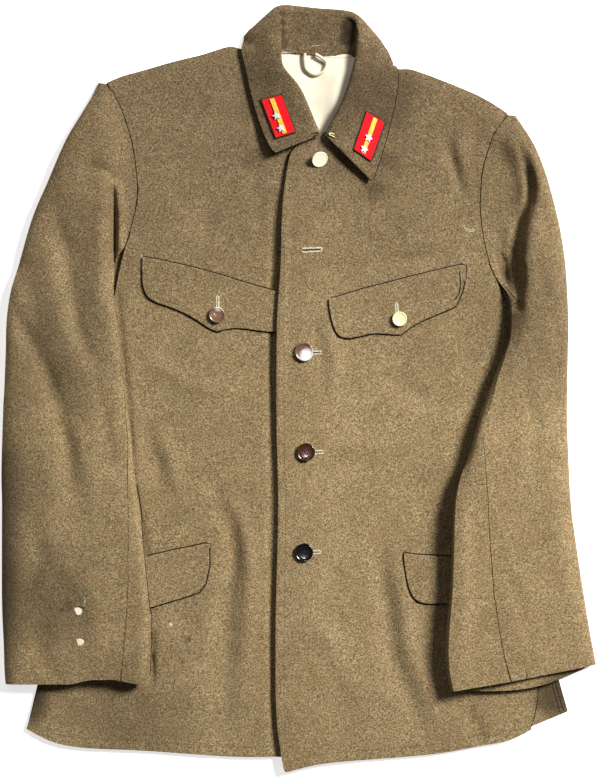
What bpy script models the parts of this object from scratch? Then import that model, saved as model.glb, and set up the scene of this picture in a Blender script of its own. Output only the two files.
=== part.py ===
"""Wool service tunic laid flat on its back, front side up.

Tables give sizes in millimetres: "across" runs to the right from the outermost left edge line,
"down" runs from the top of the collar towards the hem, "high" is the height above the table.
"""
import math

import bmesh
import bpy
from mathutils import Matrix, Vector
from mathutils.bvhtree import BVHTree

MM = 0.001
ACROSS_MID = 300.26
DOWN_MID = 387.89

WOOL = 2.0
DOUBLE_WOOL = 2.4
LINING = 0.8
SEAM_GAP = 0.3
LAY_GAP = 0.6
EDGE_HIGH = 4.5
BODY_HIGH = 6.7
CHEST_RISE = 0.5
LAP_RISE = 5.0
LAP_OVER_FLAP = 1.2
LAP_FLAP_DOWN = 306.0
LAP_FLAP_RUN = 34.0
LAP_FULL = 300.0
LAP_RUN = 62.0
CHEST_DOWN = 240.0
CHEST_RUN = 150.0
SHOULDER_ROUND = 18.0
SIDE_ROUND = 14.0
HEM_ROUND = 22.0
HEM_HIGH = 5.6
LAP_SIDE = 277.0
ARMPIT_RIGHT_SIDE = 284.0
ARMPIT_LEFT_SIDE = 255.0
SIDE_FADE = 24.0
SLEEVE_EDGE = 11.0
SLEEVE_CLEAR = 1.3
FLAP_LIFT = 3.6
FLAP_LIFT_FROM = 500.0
FLAP_LIFT_RUN = 40.0
REST_RUN = 16.0
REST_FROM = {"left": 250.0, "right": 290.0}
REST_RAMP = {"left": 36.0, "right": 38.0}
SLEEVE_LEAST = 4.9
EDGE_SHARE = 0.14
EDGE_LIMIT = 0.42
CLOSED_BY = 0.4
CUFF_FROM = 0.9
BACK_SEAM = 1.13
SEAM_SHARE = 0.003
FLAP_CELL = 13.0
STAND_SAG = 0.6
STAND_GAP = 0.6
ARMHOLE_GAP = 0.4
GUSSET_RUN = 18.0
SMOOTH_BELOW = 40.0

# Rows of the body grids from hem to shoulder, closer at the armholes and the neck: count and
# the share of the height at the start and end of each run.
FRONT_ROWS = ((10, 0.0, 0.64), (7, 0.67, 0.86), (9, 0.88, 1.0))
BACK_ROWS = ((6, 0.0, 0.60), (26, 0.62, 1.0))

# Shoulder and neck line of the body: across, down.
SHOULDER = (
    (100, 84), (105, 82.4), (120, 75.4), (140, 70.4), (170, 61.4), (207, 52.4), (236, 43.6),
    (240, 45), (244, 50), (254, 54), (266, 56), (276, 54), (288, 51.5), (305, 51), (330, 52),
    (350, 54), (362, 60), (372, 67), (384, 71), (392, 71), (399, 65.5), (421, 71.4), (445, 80.4),
    (472, 91.4), (490, 100.4), (508, 112.4), (514, 115),
)
# Left armhole and side edge of the body: down, across.
LEFT_SIDE = (
    (82, 106), (92, 113), (102, 118.6), (110, 122), (128, 128), (147, 133), (168, 136), (188, 138),
    (203, 137), (219, 133), (236, 129), (253, 122.5), (270, 119), (292, 114.5), (340, 105),
    (440, 84), (560, 60), (650, 44), (690, 38), (707, 31), (722, 28), (729, 25.5), (760, 24),
)
# Right armhole and side edge of the front: down, across.
RIGHT_SIDE = (
    (112, 509), (123.5, 501), (133, 494), (146, 489.5), (160, 485), (173, 482), (187, 481),
    (203, 480), (220, 481), (234, 483), (250, 486), (265, 490), (276, 495), (284, 499.4),
    (297, 503), (312, 506), (326, 507), (400, 515), (520, 529), (600, 538), (640, 541),
    (675, 539), (698, 537.6), (716, 535), (731, 532),
)
# Right edge of the back below the side seam, with its tail: down, across.
BACK_TAIL = (
    (580, 536), (620, 545), (673, 557), (696, 564), (711, 569), (722, 570),
)
# Edge of the front that laps over, from the neckline to the hem: down, across.
LAP_EDGE = (
    (58, 359), (70, 356), (80, 354), (93, 350), (110, 343), (123, 336), (131, 329), (136, 319),
    (140, 307), (145, 294), (150, 290), (168, 284.5), (191, 281), (210, 279), (290, 277.5),
    (344, 276), (428, 276), (505, 278.4), (581, 276), (658, 275), (734, 276), (764, 281),
    (773, 284),
)
# Neckline and hidden edge of the front underneath: down, across.
UNDER_EDGE = (
    (50, 276), (57, 277.5), (70, 280), (78, 287), (88, 296), (103, 303), (119, 310), (133, 318),
    (141, 323), (160, 322), (300, 318), (500, 320), (758, 317),
)
# Hem of the lapping front, of the front underneath and of the back: across, down.
LAP_HEM = (
    (275, 773), (284, 773), (298, 769), (321, 764), (362, 761), (402, 758), (443, 754),
    (484, 746), (521, 740), (529, 735.5), (533, 729),
)
UNDER_HEM = (
    (24, 728.4), (30, 734), (38, 738), (52, 744), (65, 747), (82, 749), (134, 751), (191, 755),
    (241, 758), (330, 757),
)
BACK_HEM = (
    (25, 724), (38, 734), (60, 742), (134, 747), (241, 754), (300, 758), (402, 753), (484, 741),
    (520, 734), (534, 728), (545, 722), (557, 717), (566, 714), (570, 712),
)

# Soft folds of the body: across, down of the start and end, half width, rise.
BODY_FOLDS = (
    (222, 488, 240, 545, 11, -1.8), (240, 545, 232, 620, 12, -1.8), (232, 620, 228, 735, 14, -1.4),
    (212, 520, 208, 700, 16, 1.8), (262, 500, 260, 720, 14, 1.7),
    (150, 432, 164, 482, 13, -1.6), (384, 548, 395, 650, 11, -1.5), (395, 650, 428, 742, 12, -1.8),
    (365, 560, 372, 735, 15, 1.8), (428, 560, 450, 730, 16, 2.0), (474, 712, 485, 738, 8, -1.4),
    (449, 134, 466, 190, 7, -1.4), (485, 122, 474, 150, 6, -1.2), (462, 128, 478, 186, 9, 1.7),
    (214, 88, 182, 132, 12, 1.8), (243, 100, 190, 168, 13, -1.1), (212, 195, 204, 240, 9, -0.9),
    (322, 322, 328, 392, 9, -1.1), (150, 215, 178, 245, 18, 1.5), (445, 345, 452, 470, 22, 2.2),
    (200, 350, 215, 440, 30, 1.8), (372, 238, 462, 246, 9, -1.0), (405, 205, 440, 222, 14, 1.3),
)

# Sections of the left sleeve: outer across, down; inner across, down; high at the outer and the
# inner side; closed (0 sewn to the armhole, 1 a whole tube); ledge kept low and run of its rise;
# place of the seam on the upper face.
LEFT_SLEEVE = (
    (97, 82, 105.2, 83, 5.4, 5.4, 0, 0, 8, 0),
    (90, 96, 114.2, 95, 9, 8.5, 0, 0, 14, 0),
    (80, 113, 122.6, 113, 14, 12, 0, 0, 24, 0),
    (66, 136, 129.7, 136, 17, 17, 0, 0, 30, 0),
    (56, 158, 134.0, 160, 18, 20, 0, 4, 26, 0),
    (44.5, 186, 137.7, 188, 18, 22, 0, 13, 20, 0),
    (32, 213, 134.2, 213, 18, 23, 0, 15, 15, 0),
    (24, 240, 127.6, 239, 18, 23, 0, 9, 14, 0),
    (19.5, 256, 121.2, 253.5, 18, 22, 0.15, 4, 14, 0),
    (17, 265, 113.4, 260, 18, 22, 0.55, 0, 10, 0),
    (12.5, 280, 111.4, 276, 18, 22, 1, 0, 5, 0),
    (8.2, 294, 113.4, 293, 18, 23, 1, 0, 1, 0.01),
    (5.2, 318, 117.2, 317, 18, 24, 1, 0, 1, 0.02),
    (4.2, 348, 121.2, 347, 18, 24, 1, 0, 1, 0.03),
    (3.2, 385, 125.6, 384, 17, 24, 1, 0, 1, 0.04),
    (3.2, 420, 129.6, 418, 16, 24, 1, 0, 1, 0.06),
    (3.2, 458, 133.2, 457, 16, 24, 1, 0, 1, 0.10),
    (3.4, 496, 138.0, 495, 17, 25, 1, 0, 1, 0.22),
    (3.6, 536, 143.0, 536, 18, 26, 1, 0, 1, 0.26),
    (3.6, 572, 148.0, 571, 18, 27, 1, 0, 1, 0.29),
    (3.6, 606, 151.2, 605, 18, 27, 1, 0, 1, 0.31),
    (5.5, 643, 149.0, 643, 18, 26, 1, 0, 1, 0.31),
    (5.2, 668, 146.4, 667, 17, 25, 1, 0, 1, 0.31),
    (6.0, 684, 144.6, 682, 16, 24, 1, 0, 1, 0.31),
)
RIGHT_SLEEVE = (
    (517, 115, 508.8, 114.5, 5.4, 5.4, 0, 0, 8, 0),
    (524, 125, 499.4, 126, 10, 9, 0, 0, 14, 0),
    (534, 141, 490.8, 143, 15, 14, 0, 0, 24, 0),
    (545, 166, 483.2, 168, 20, 20, 0, 26, 20, 0),
    (553, 193, 480.7, 195, 22, 24, 0, 37, 15, 0),
    (560, 221, 481.3, 221, 22, 27, 0, 30, 15, 0),
    (564.5, 246, 485.4, 246, 23, 28, 0, 24, 14, 0),
    (566.8, 264, 490, 265, 23, 29, 0, 19, 14, 0),
    (568.2, 284, 499.6, 283.5, 23, 30, 0.15, 12, 14, 0),
    (568.8, 298, 509.5, 293, 23, 30, 0.55, 4, 12, 0),
    (569.6, 312, 516, 308, 23, 31, 1, 0, 5, 0),
    (570, 326, 513, 326, 23, 31, 1, 0, 1, 0.02),
    (569.4, 345, 507.4, 344, 23, 31, 1, 0, 1, 0.04),
    (569, 366, 501, 365, 23, 31, 1, 0, 1, 0.06),
    (568.4, 392, 492.2, 392, 22, 31, 1, 0, 1, 0.10),
    (568, 420, 482.4, 419, 21, 31, 1, 0, 1, 0.16),
    (569, 448, 472.4, 449, 21, 31, 1, 0, 1, 0.24),
    (570, 478, 459.8, 477, 20, 31, 1, 0, 1, 0.33),
    (571.3, 505, 455.3, 507, 19, 31, 1, 0, 1, 0.36),
    (575.5, 536, 454, 541, 18, 31, 1, 0, 1, 0.37),
    (581, 572, 453, 574, 17, 31, 1, 0, 1, 0.38),
    (587, 610, 450.6, 612, 16, 30, 1, 0, 1, 0.39),
    (593, 645, 448.4, 650, 15, 29, 1, 0, 1, 0.40),
    (595.4, 656, 450.6, 673, 14, 27, 1, 0, 1, 0.40),
    (597, 664.5, 454.4, 690, 13, 26, 1, 0, 1, 0.40),
)
# How much longer the lower layer shows at the right cuff: share of the width, extra length.
CUFF_UNDER = ((0.0, 0.0), (0.16, 4.5), (0.3, 8.5), (0.5, 11.0), (0.7, 9.5), (0.85, 5.5), (1.0, 0.0))

# Places round each sleeve where its upper part has a line of the grid.
SLEEVE_COLUMNS = {
    "left": (0.0, 0.07, 0.16, 0.27, 0.38, 0.50, 0.61, 0.71, 0.78, 0.84, 0.92, 1.0),
    "right": (0.0, 0.09, 0.19, 0.29, 0.39, 0.50, 0.61, 0.71, 0.78, 0.84, 0.92, 1.0),
}

# Soft folds of the sleeves: across, down of the start and end, half width, rise.
SLEEVE_FOLDS = (
    (76, 238, 80, 300, 9, -4.5), (80, 300, 94, 336, 9, -4.5), (94, 336, 112, 368, 8, -3.0),
    (20, 262, 40, 338, 9, -3.5), (40, 338, 57, 388, 9, -4.5), (57, 388, 72, 434, 9, -4.5),
    (72, 434, 80, 492, 9, -3.0), (50, 258, 60, 330, 12, 3.0), (70, 350, 96, 430, 12, 2.8),
    (30, 380, 52, 470, 12, 2.4), (14, 492, 34, 562, 9, -3.5), (8, 596, 40, 588, 7, -3.0),
    (88, 168, 120, 174, 7, -2.6), (60, 160, 84, 200, 16, 2.0), (100, 470, 112, 560, 14, 2.0),
    (34, 640, 66, 655, 10, -1.6), (88, 634, 130, 640, 8, -1.6), (30, 612, 60, 606, 9, 1.6),
    (548, 250, 542, 330, 15, 2.4), (556, 330, 560, 470, 9, -2.2), (540, 420, 546, 520, 16, 2.0),
    (490, 440, 500, 520, 14, 1.8), (560, 590, 590, 606, 8, -2.4), (560, 628, 592, 634, 7, -2.0),
    (520, 560, 528, 640, 16, 2.2), (545, 640, 556, 664, 9, -1.8), (470, 640, 496, 652, 10, -1.4),
)

# Collar sections from the left end round the back to the right end: wrap (0 lies on the fronts,
# 1 turned behind the neck); outer edge across, down, high; silhouette across, down; roll line
# across, down, high; neck seam across, down, high.
COLLAR = (
    (0, 276, 153.4, 18, 276, 153.4, 321, 135.6, 15.5, 319, 136, 14.6),
    (0, 270.6, 150, 16.5, 270.6, 150, 319, 130.5, 15.8, 316, 131, 13),
    (0, 263, 133, 13.6, 263, 133, 313, 117, 16, 309.6, 118, 11),
    (0, 256, 113, 12.2, 256, 113, 306.6, 101, 17, 303, 103, 9.4),
    (0, 251, 94, 12.2, 251, 94, 300, 87, 18, 296, 89, 9),
    (0, 247.4, 78, 12.2, 247.4, 78, 291, 77, 18.6, 287, 79.5, 9),
    (0, 244, 62, 12.0, 244, 62, 284, 69, 18.6, 280.4, 70, 9),
    (0.05, 241, 48, 11.0, 240.4, 46, 281.6, 58, 18.4, 279, 59, 9),
    (0.7, 243.5, 42.5, 3.0, 240.6, 38, 281.5, 47, 17.6, 280, 55.5, 8.6),
    (1, 252, 44.5, 0.0, 246, 31.6, 281.5, 37, 16.6, 281, 53, 8.2),
    (1, 264, 46.5, 0.0, 256, 25, 282, 27, 15, 282.4, 51.6, 7.6),
    (1, 277, 47, 0.0, 267, 13, 283, 18, 12.4, 285, 51, 6.6),
    (1, 290, 47, 0.0, 278, 4.6, 287, 12, 9.8, 292, 52, 5.4),
    (1, 304, 47, 0.0, 298, 6.6, 303, 13, 8.8, 304, 53.2, 4.8),
    (1, 318, 47.4, 0.0, 318, 8.6, 318, 15, 8.8, 318, 54, 4.8),
    (1, 332, 48, 0.0, 336, 9.4, 336, 16, 8.8, 334, 55.2, 4.8),
    (1, 345, 49, 0.0, 351, 10.8, 350, 18, 9.8, 346, 56, 5.4),
    (1, 357, 51, 0.0, 361.5, 15.6, 355.6, 24, 12.4, 353, 56.4, 6.6),
    (1, 368, 54, 0.0, 371, 28, 356.6, 33, 15, 355.6, 57.6, 7.6),
    (1, 380, 59.5, 0.0, 383.5, 43.6, 356.6, 43, 16.6, 357, 59, 8.2),
    (0.7, 393.6, 64, 3.0, 395, 57.4, 356, 52, 17.6, 357.6, 62, 8.6),
    (0.05, 398.4, 69, 11.0, 398, 66, 354.4, 61, 18.4, 357, 67, 9),
    (0, 398, 84, 12.2, 398, 84, 351.4, 73, 18.6, 354.6, 77, 9),
    (0, 395, 105, 12.2, 395, 105, 346, 91, 18, 350, 94, 9),
    (0, 389.4, 126, 12.2, 389.4, 126, 339.4, 107.6, 17, 343, 110, 9.8),
    (0, 384, 147, 12.4, 384, 147, 332.6, 120, 16.4, 336, 122.6, 11.4),
    (0, 378, 166, 12.8, 378, 166, 327.4, 129.4, 16, 330, 131, 13.2),
    (0, 371.6, 181.6, 13.4, 371.6, 181.6, 324.6, 135.4, 15.6, 326.4, 136, 14.4),
)
COLLAR_STAND_FROM = 1.2
COLLAR_STAND_TO = 25.8
COLLAR_MIDDLE = 14.0
BEHIND_HALF = 1.2
BEHIND_RUN = 2.0
FALL_CROWN = 7.6
FALL_SWELL = 2.6
FALL_FIRST = 0.30
FALL_SECOND = 0.62
FALL_TURNED_HIGH = 0.72
FALL_LYING_SHARE = 0.35
FALL_LYING_RISE = 0.8

# Edges of the lining that shows at the neck: down, across.
NECK_LINING_LEFT_SIDE = ((58, 284), (66, 272), (100, 274), (152, 296))
NECK_LINING_RIGHT_SIDE = ((58, 352), (66, 364), (100, 362), (152, 348))
NECK_LINING_TOP = 59.0
NECK_LINING_END = 150.0

# Outlines of the pocket flaps: across, down of the upper edge, down of the lower edge.
BREAST_FLAP_RIGHT = (
    (142.4, 256.6, 284), (145, 257, 293), (149, 257.8, 298.6), (156, 259, 302.4), (169, 262, 306.5),
    (182, 264.6, 311.6), (195, 267.8, 318.6), (207, 271, 327), (216, 273.4, 332),
    (225, 276, 329), (237, 280, 327.6), (249, 283.6, 329), (262, 287.4, 331), (276, 291, 332),
    (286, 293.4, 332.4),
)
BREAST_FLAP_LEFT = (
    (329, 299, 304), (330.6, 298.4, 315), (334, 297.6, 329), (338.4, 296.6, 336.4),
    (348, 293.4, 338.8), (361, 289.4, 336), (375, 285.8, 333), (387, 282.8, 333.8),
    (401, 279, 335), (409, 277, 328), (421, 274, 321), (433, 271, 316), (446, 268, 310.6),
    (456, 265.6, 306), (462, 264.4, 300), (466, 266, 278),
)
HIP_FLAP_RIGHT = (
    (84, 574, 626), (92, 572, 625), (120, 564, 617), (147, 556.6, 608.6), (170, 551, 601.6),
    (190, 547, 595.6), (199, 545, 592), (205, 543.4, 584), (209, 543.4, 566),
)
HIP_FLAP_LEFT = (
    (404, 553, 560), (408, 553.6, 586), (411.6, 554, 595.6), (417, 554.8, 601.4), (426, 555.4, 604),
    (451, 557, 603), (476, 559, 603.6), (500, 561, 604), (512, 562, 604.6),
)

# Front buttons: across, down, width, tilt in degrees about the height of the tunic.
FRONT_BUTTONS = ((319, 160, 16.4, 22), (304, 352, 18.4, 0), (306, 452, 18.2, 0), (304, 552, 18.2, 0))
POCKET_BUTTONS = (("pocket_button_right", 217, 315, 16), ("pocket_button_left", 399.4, 319, 14.6))
BUTTON_SHANK = 1.6
BUTTON_SEAT = 0.4
# Half section of a button's head: share of its radius, high.
BUTTON_HEAD = ((0.86, 1.0), (1.0, 1.8), (0.97, 2.7), (0.82, 3.6), (0.66, 3.1), (0.0, 3.0))

# Wear holes in the upper layer of the right sleeve: across, down, half widths.
SLEEVE_HOLES = ((80.6, 609, 5.2, 4.6), (82, 640, 4.4, 4.1))
HOLE_REACH = 60.0

# Rank tabs: corners across, down, clockwise from the upper left.
TAB_ON_RIGHT_COLLAR = ((261.6, 100.7), (281.7, 96.6), (294.9, 132.8), (275.9, 138.5))
TAB_ON_LEFT_COLLAR = ((366.6, 113.3), (384.4, 123.0), (370.6, 161.0), (354.0, 150.0))
TAB_THICK = 1.4
STRIPE_SHARE = 0.22
STRIPE_THICK = 0.6
STAR_SIZE = 4.6
STAR_THICK = 1.0
STAR_INNER = 0.45
STAR_RIM = 0.35
STAR_SEAT = 0.45
STRIPE_SEAT = 0.35
STARS_ON_RIGHT_COLLAR = ((276.5, 117.0), (281.0, 129.4))
STARS_ON_LEFT_COLLAR = ((368.3, 139.0), (364.0, 150.0))

HANGER_THICK = 3.2
HANGER_LOOP = (
    (304.8, 52.6, 6.9), (304.4, 60, 6.2), (306.4, 69, 5.6), (314.6, 74.0, 5.4), (323.6, 70.6, 5.6),
    (326.4, 62, 6.2), (321, 57.0, 7.0), (315.4, 53.6, 6.9),
)
WIRE_THICK = 1.1

FINISHES = {
    "wool": ((0.275, 0.191, 0.099), 0.95, 0.0),
    "wool_dark": ((0.235, 0.165, 0.088), 0.95, 0.0),
    "lining": ((0.86, 0.80, 0.68), 0.85, 0.0),
    "tape": ((0.80, 0.74, 0.62), 0.85, 0.0),
    "ivory_brass": ((0.70, 0.62, 0.42), 0.3, 0.8),
    "bronze": ((0.17, 0.10, 0.05), 0.25, 0.6),
    "dark_bronze": ((0.06, 0.035, 0.02), 0.25, 0.5),
    "black_enamel": ((0.012, 0.012, 0.014), 0.2, 0.1),
    "brass": ((0.62, 0.48, 0.20), 0.3, 1.0),
    "red_cloth": ((0.82, 0.012, 0.010), 0.9, 0.0),
    "yellow_braid": ((1.0, 0.60, 0.10), 0.8, 0.0),
    "silver": ((0.72, 0.78, 0.80), 0.35, 0.9),
}


def curve(table, value):
    """Value of a two-column table at a place, smooth and free of overshoot."""
    first = table[0]
    last = table[-1]
    if value <= first[0]:
        return first[1]
    if value >= last[0]:
        return last[1]
    index = 0
    while table[index + 1][0] < value:
        index += 1
    x0, y0 = table[index][:2]
    x1, y1 = table[index + 1][:2]
    width = x1 - x0
    slope = (y1 - y0) / width

    def join(before, after):
        if before * after <= 0.0:
            return 0.0
        return 2.0 * before * after / (before + after)

    left = slope
    right = slope
    if index > 0:
        xb, yb = table[index - 1][:2]
        left = join((y0 - yb) / (x0 - xb), slope)
    if index + 2 < len(table):
        xa, ya = table[index + 2][:2]
        right = join(slope, (ya - y1) / (xa - x1))
    share = (value - x0) / width
    square = share * share
    cube = square * share
    return (y0 * (2 * cube - 3 * square + 1) + left * width * (cube - 2 * square + share)
            + y1 * (3 * square - 2 * cube) + right * width * (cube - square))


def row_at(table, place):
    """All columns of a table at a fractional row, smoothly between its rows."""
    columns = []
    for column in range(len(table[0])):
        pairs = [(index, row[column]) for index, row in enumerate(table)]
        columns.append(curve(pairs, place))
    return columns


def ease(share):
    """Soft step from 0 to 1."""
    share = min(max(share, 0.0), 1.0)
    return share * share * (3.0 - 2.0 * share)


def rounded(distance, radius):
    """Quarter-round rise from an edge."""
    share = min(max(distance / radius, 0.0), 1.0)
    return math.sqrt(1.0 - (1.0 - share) ** 2)


def mix(start, end, share):
    return start + (end - start) * share


def folds_at(table, across, down):
    """Strongest soft ridge plus the deepest trough, each a capsule with a bell section."""
    ridge = 0.0
    trough = 0.0
    for x0, y0, x1, y1, half, rise in table:
        run_x = x1 - x0
        run_y = y1 - y0
        share = ((across - x0) * run_x + (down - y0) * run_y) / (run_x * run_x + run_y * run_y)
        share = min(max(share, 0.0), 1.0)
        off_x = across - x0 - share * run_x
        off_y = down - y0 - share * run_y
        here = rise * math.exp(-(off_x * off_x + off_y * off_y) / (half * half))
        ridge = max(ridge, here)
        trough = min(trough, here)
    return ridge + trough


def place(across, down, high):
    """Point of the tables, in metres about the middle of the tunic."""
    return Vector(((across - ACROSS_MID) * MM, (DOWN_MID - down) * MM, high * MM))


def lap(across, down):
    """Extra height of the lapping front over the front underneath and its breast flap."""
    over_flap = LAP_OVER_FLAP * math.exp(-((down - LAP_FLAP_DOWN) / LAP_FLAP_RUN) ** 2)
    return (LAP_RISE + over_flap) * (1.0 - ease((across - LAP_FULL) / LAP_RUN))


def inner_high(across, down):
    """Height of the body's outer face away from its edges."""
    chest = CHEST_RISE * math.exp(-((down - CHEST_DOWN) / CHEST_RUN) ** 2)
    return BODY_HIGH + chest + folds_at(BODY_FOLDS, across, down)


def body_high(across, down):
    """Height of the body's outer face, rounded down at shoulders, sides and hem."""
    top = curve(SHOULDER, across)
    left = curve(LEFT_SIDE, down)
    right = curve(RIGHT_SIDE, down)
    full = inner_high(across, down)
    keep = rounded(down - top, SHOULDER_ROUND)
    left_side = ease((down - ARMPIT_LEFT_SIDE) / SIDE_FADE)
    right_side = ease((down - ARMPIT_RIGHT_SIDE) / SIDE_FADE)
    keep *= mix(1.0, rounded(across - left, SIDE_ROUND), left_side)
    keep *= mix(1.0, rounded(right - across, SIDE_ROUND), right_side)
    hem = curve(LAP_HEM if across > LAP_SIDE else UNDER_HEM, across)
    near_hem = 1.0 - ease((hem - down) / HEM_ROUND)
    full = mix(full, min(full, HEM_HIGH), near_hem)
    return mix(EDGE_HIGH, full, keep)


def over_front_high(across, down):
    """Height of the outer face of the front that laps over."""
    return body_high(across, down) + lap(across, down)


def finish(name, material):
    """Material with the colour, roughness and metal share of one finish."""
    colour, roughness, metallic = FINISHES[material]
    made = bpy.data.materials.new(name + "_" + material)
    made.use_nodes = True
    shader = made.node_tree.nodes["Principled BSDF"]
    shader.inputs["Base Color"].default_value = (*colour, 1.0)
    shader.inputs["Roughness"].default_value = roughness
    shader.inputs["Metallic"].default_value = metallic
    made.diffuse_color = (*colour, 1.0)
    return made


def add_object(name, bm, material):
    """Object from a finished bmesh, in triangles, its faces turned outwards."""
    bmesh.ops.triangulate(bm, faces=bm.faces)
    bmesh.ops.recalc_face_normals(bm, faces=bm.faces)
    if bm.calc_volume(signed=True) < 0.0:
        bmesh.ops.reverse_faces(bm, faces=bm.faces)
    mesh = bpy.data.meshes.new(name)
    bm.to_mesh(mesh)
    bm.free()
    mesh.shade_smooth()
    mesh.set_sharp_from_angle(angle=math.radians(SMOOTH_BELOW))
    made = bpy.data.objects.new(name, mesh)
    bpy.context.scene.collection.objects.link(made)
    mesh.materials.append(finish(name, material))
    return made


def surface_normal(surface, u, v, turn):
    """Unit normal of a surface function from small steps along both of its ways."""
    step = 0.004
    along_u = surface(u + step, v) - surface(u - step, v)
    along_v = surface(u, v + step) - surface(u, v - step)
    return along_u.cross(along_v).normalized() * turn


def evenly(count, start=0.0, end=1.0):
    """Evenly spaced places, both ends included."""
    return [mix(start, end, index / count) for index in range(count + 1)]


def wall(name, surface, rows, columns, thickness, material, turn=1.0, sink=0.0):
    """Cloth wall: a grid on the outer face, the same grid moved inwards, and its four edges."""
    bm = bmesh.new()
    last_row = len(rows) - 1
    last_column = len(columns) - 1
    bmesh.ops.create_grid(bm, x_segments=last_column, y_segments=last_row, size=0.5)
    inner_of = {}
    outer_faces = list(bm.faces)
    rim = [edge for edge in bm.edges if edge.is_boundary]
    for vertex in list(bm.verts):
        u = rows[round((vertex.co.y + 0.5) * last_row)]
        v = columns[round((vertex.co.x + 0.5) * last_column)]
        normal = surface_normal(surface, u, v, turn)
        vertex.co = surface(u, v) - normal * sink * MM
        inner_of[vertex] = bm.verts.new(vertex.co - normal * thickness * MM)
    for face in outer_faces:
        bm.faces.new([inner_of[vertex] for vertex in reversed(face.verts)])
    for edge in rim:
        first, second = edge.verts
        bm.faces.new((first, second, inner_of[second], inner_of[first]))
    return add_object(name, bm, material)


def tree_of(made):
    """Ray tree of an object, used to lay one piece on another."""
    bm = bmesh.new()
    bm.from_mesh(made.data)
    tree = BVHTree.FromBMesh(bm)
    bm.free()
    return tree


def top_at(trees, across, down):
    """Height of the topmost face below a place, in millimetres."""
    start = place(across, down, 200.0)
    best = 0.0
    for tree in trees:
        hit = tree.ray_cast(start, Vector((0.0, 0.0, -1.0)))[0]
        if hit is not None:
            best = max(best, hit.z / MM)
    return best


def border(table, left, right, guess):
    """Down of a border line at each share of the panel's width, where the two lines meet."""
    known = {}

    def down_at(v):
        if v not in known:
            down = guess
            for _ in range(14):
                across = mix(curve(left, down), curve(right, down), v)
                down = mix(down, curve(table, across), 0.7)
            known[v] = down
        return known[v]
    return down_at


def panel(left, right, top, hem, high):
    """Surface of a body panel between its side, shoulder and hem tables."""
    top_at_share = border(top, left, right, 80.0)
    hem_at_share = border(hem, left, right, 745.0)

    def surface(u, v):
        down = mix(hem_at_share(v), top_at_share(v), u)
        across = mix(curve(left, down) + SEAM_GAP, curve(right, down) - SEAM_GAP, v)
        return place(across, down, high(across, down))
    return surface


def back_right_side():
    """Right edge of the back, armhole, side and tail."""
    return [row for row in RIGHT_SIDE if row[0] < BACK_TAIL[0][0]] + list(BACK_TAIL)


def build_body():
    """Back panel and the two fronts, the wearer's left front lapping over the right."""
    rows = [row for run in FRONT_ROWS for row in evenly(*run)]
    back_rows = [row for run in BACK_ROWS for row in evenly(*run)]
    wall("back", panel(LEFT_SIDE, back_right_side(), SHOULDER, BACK_HEM,
                       lambda across, down: WOOL),
         back_rows, evenly(18), WOOL, "wool", turn=-1.0)
    under = wall("front_right", panel(LEFT_SIDE, UNDER_EDGE, SHOULDER, UNDER_HEM, body_high),
                 rows, evenly(12), WOOL, "wool", turn=-1.0)
    over = wall("front_left", panel(LAP_EDGE, RIGHT_SIDE, SHOULDER, LAP_HEM, over_front_high),
                rows, evenly(12), WOOL, "wool", turn=-1.0)
    return under, over


def sleeve_rest(side, across, down):
    """Height that the lower layer of a sleeve rests at: the table, or the body's side."""
    if side == "left":
        outside = curve(LEFT_SIDE, down) - across
    else:
        outside = across - curve(back_right_side(), down)
    ramp = ease((down - REST_FROM[side]) / REST_RAMP[side])
    over_flap = FLAP_LIFT * ease((down - FLAP_LIFT_FROM) / FLAP_LIFT_RUN)
    high = inner_high(across, down) + SLEEVE_CLEAR + over_flap
    return high * ramp * ease(1.0 - outside / REST_RUN)


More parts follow.
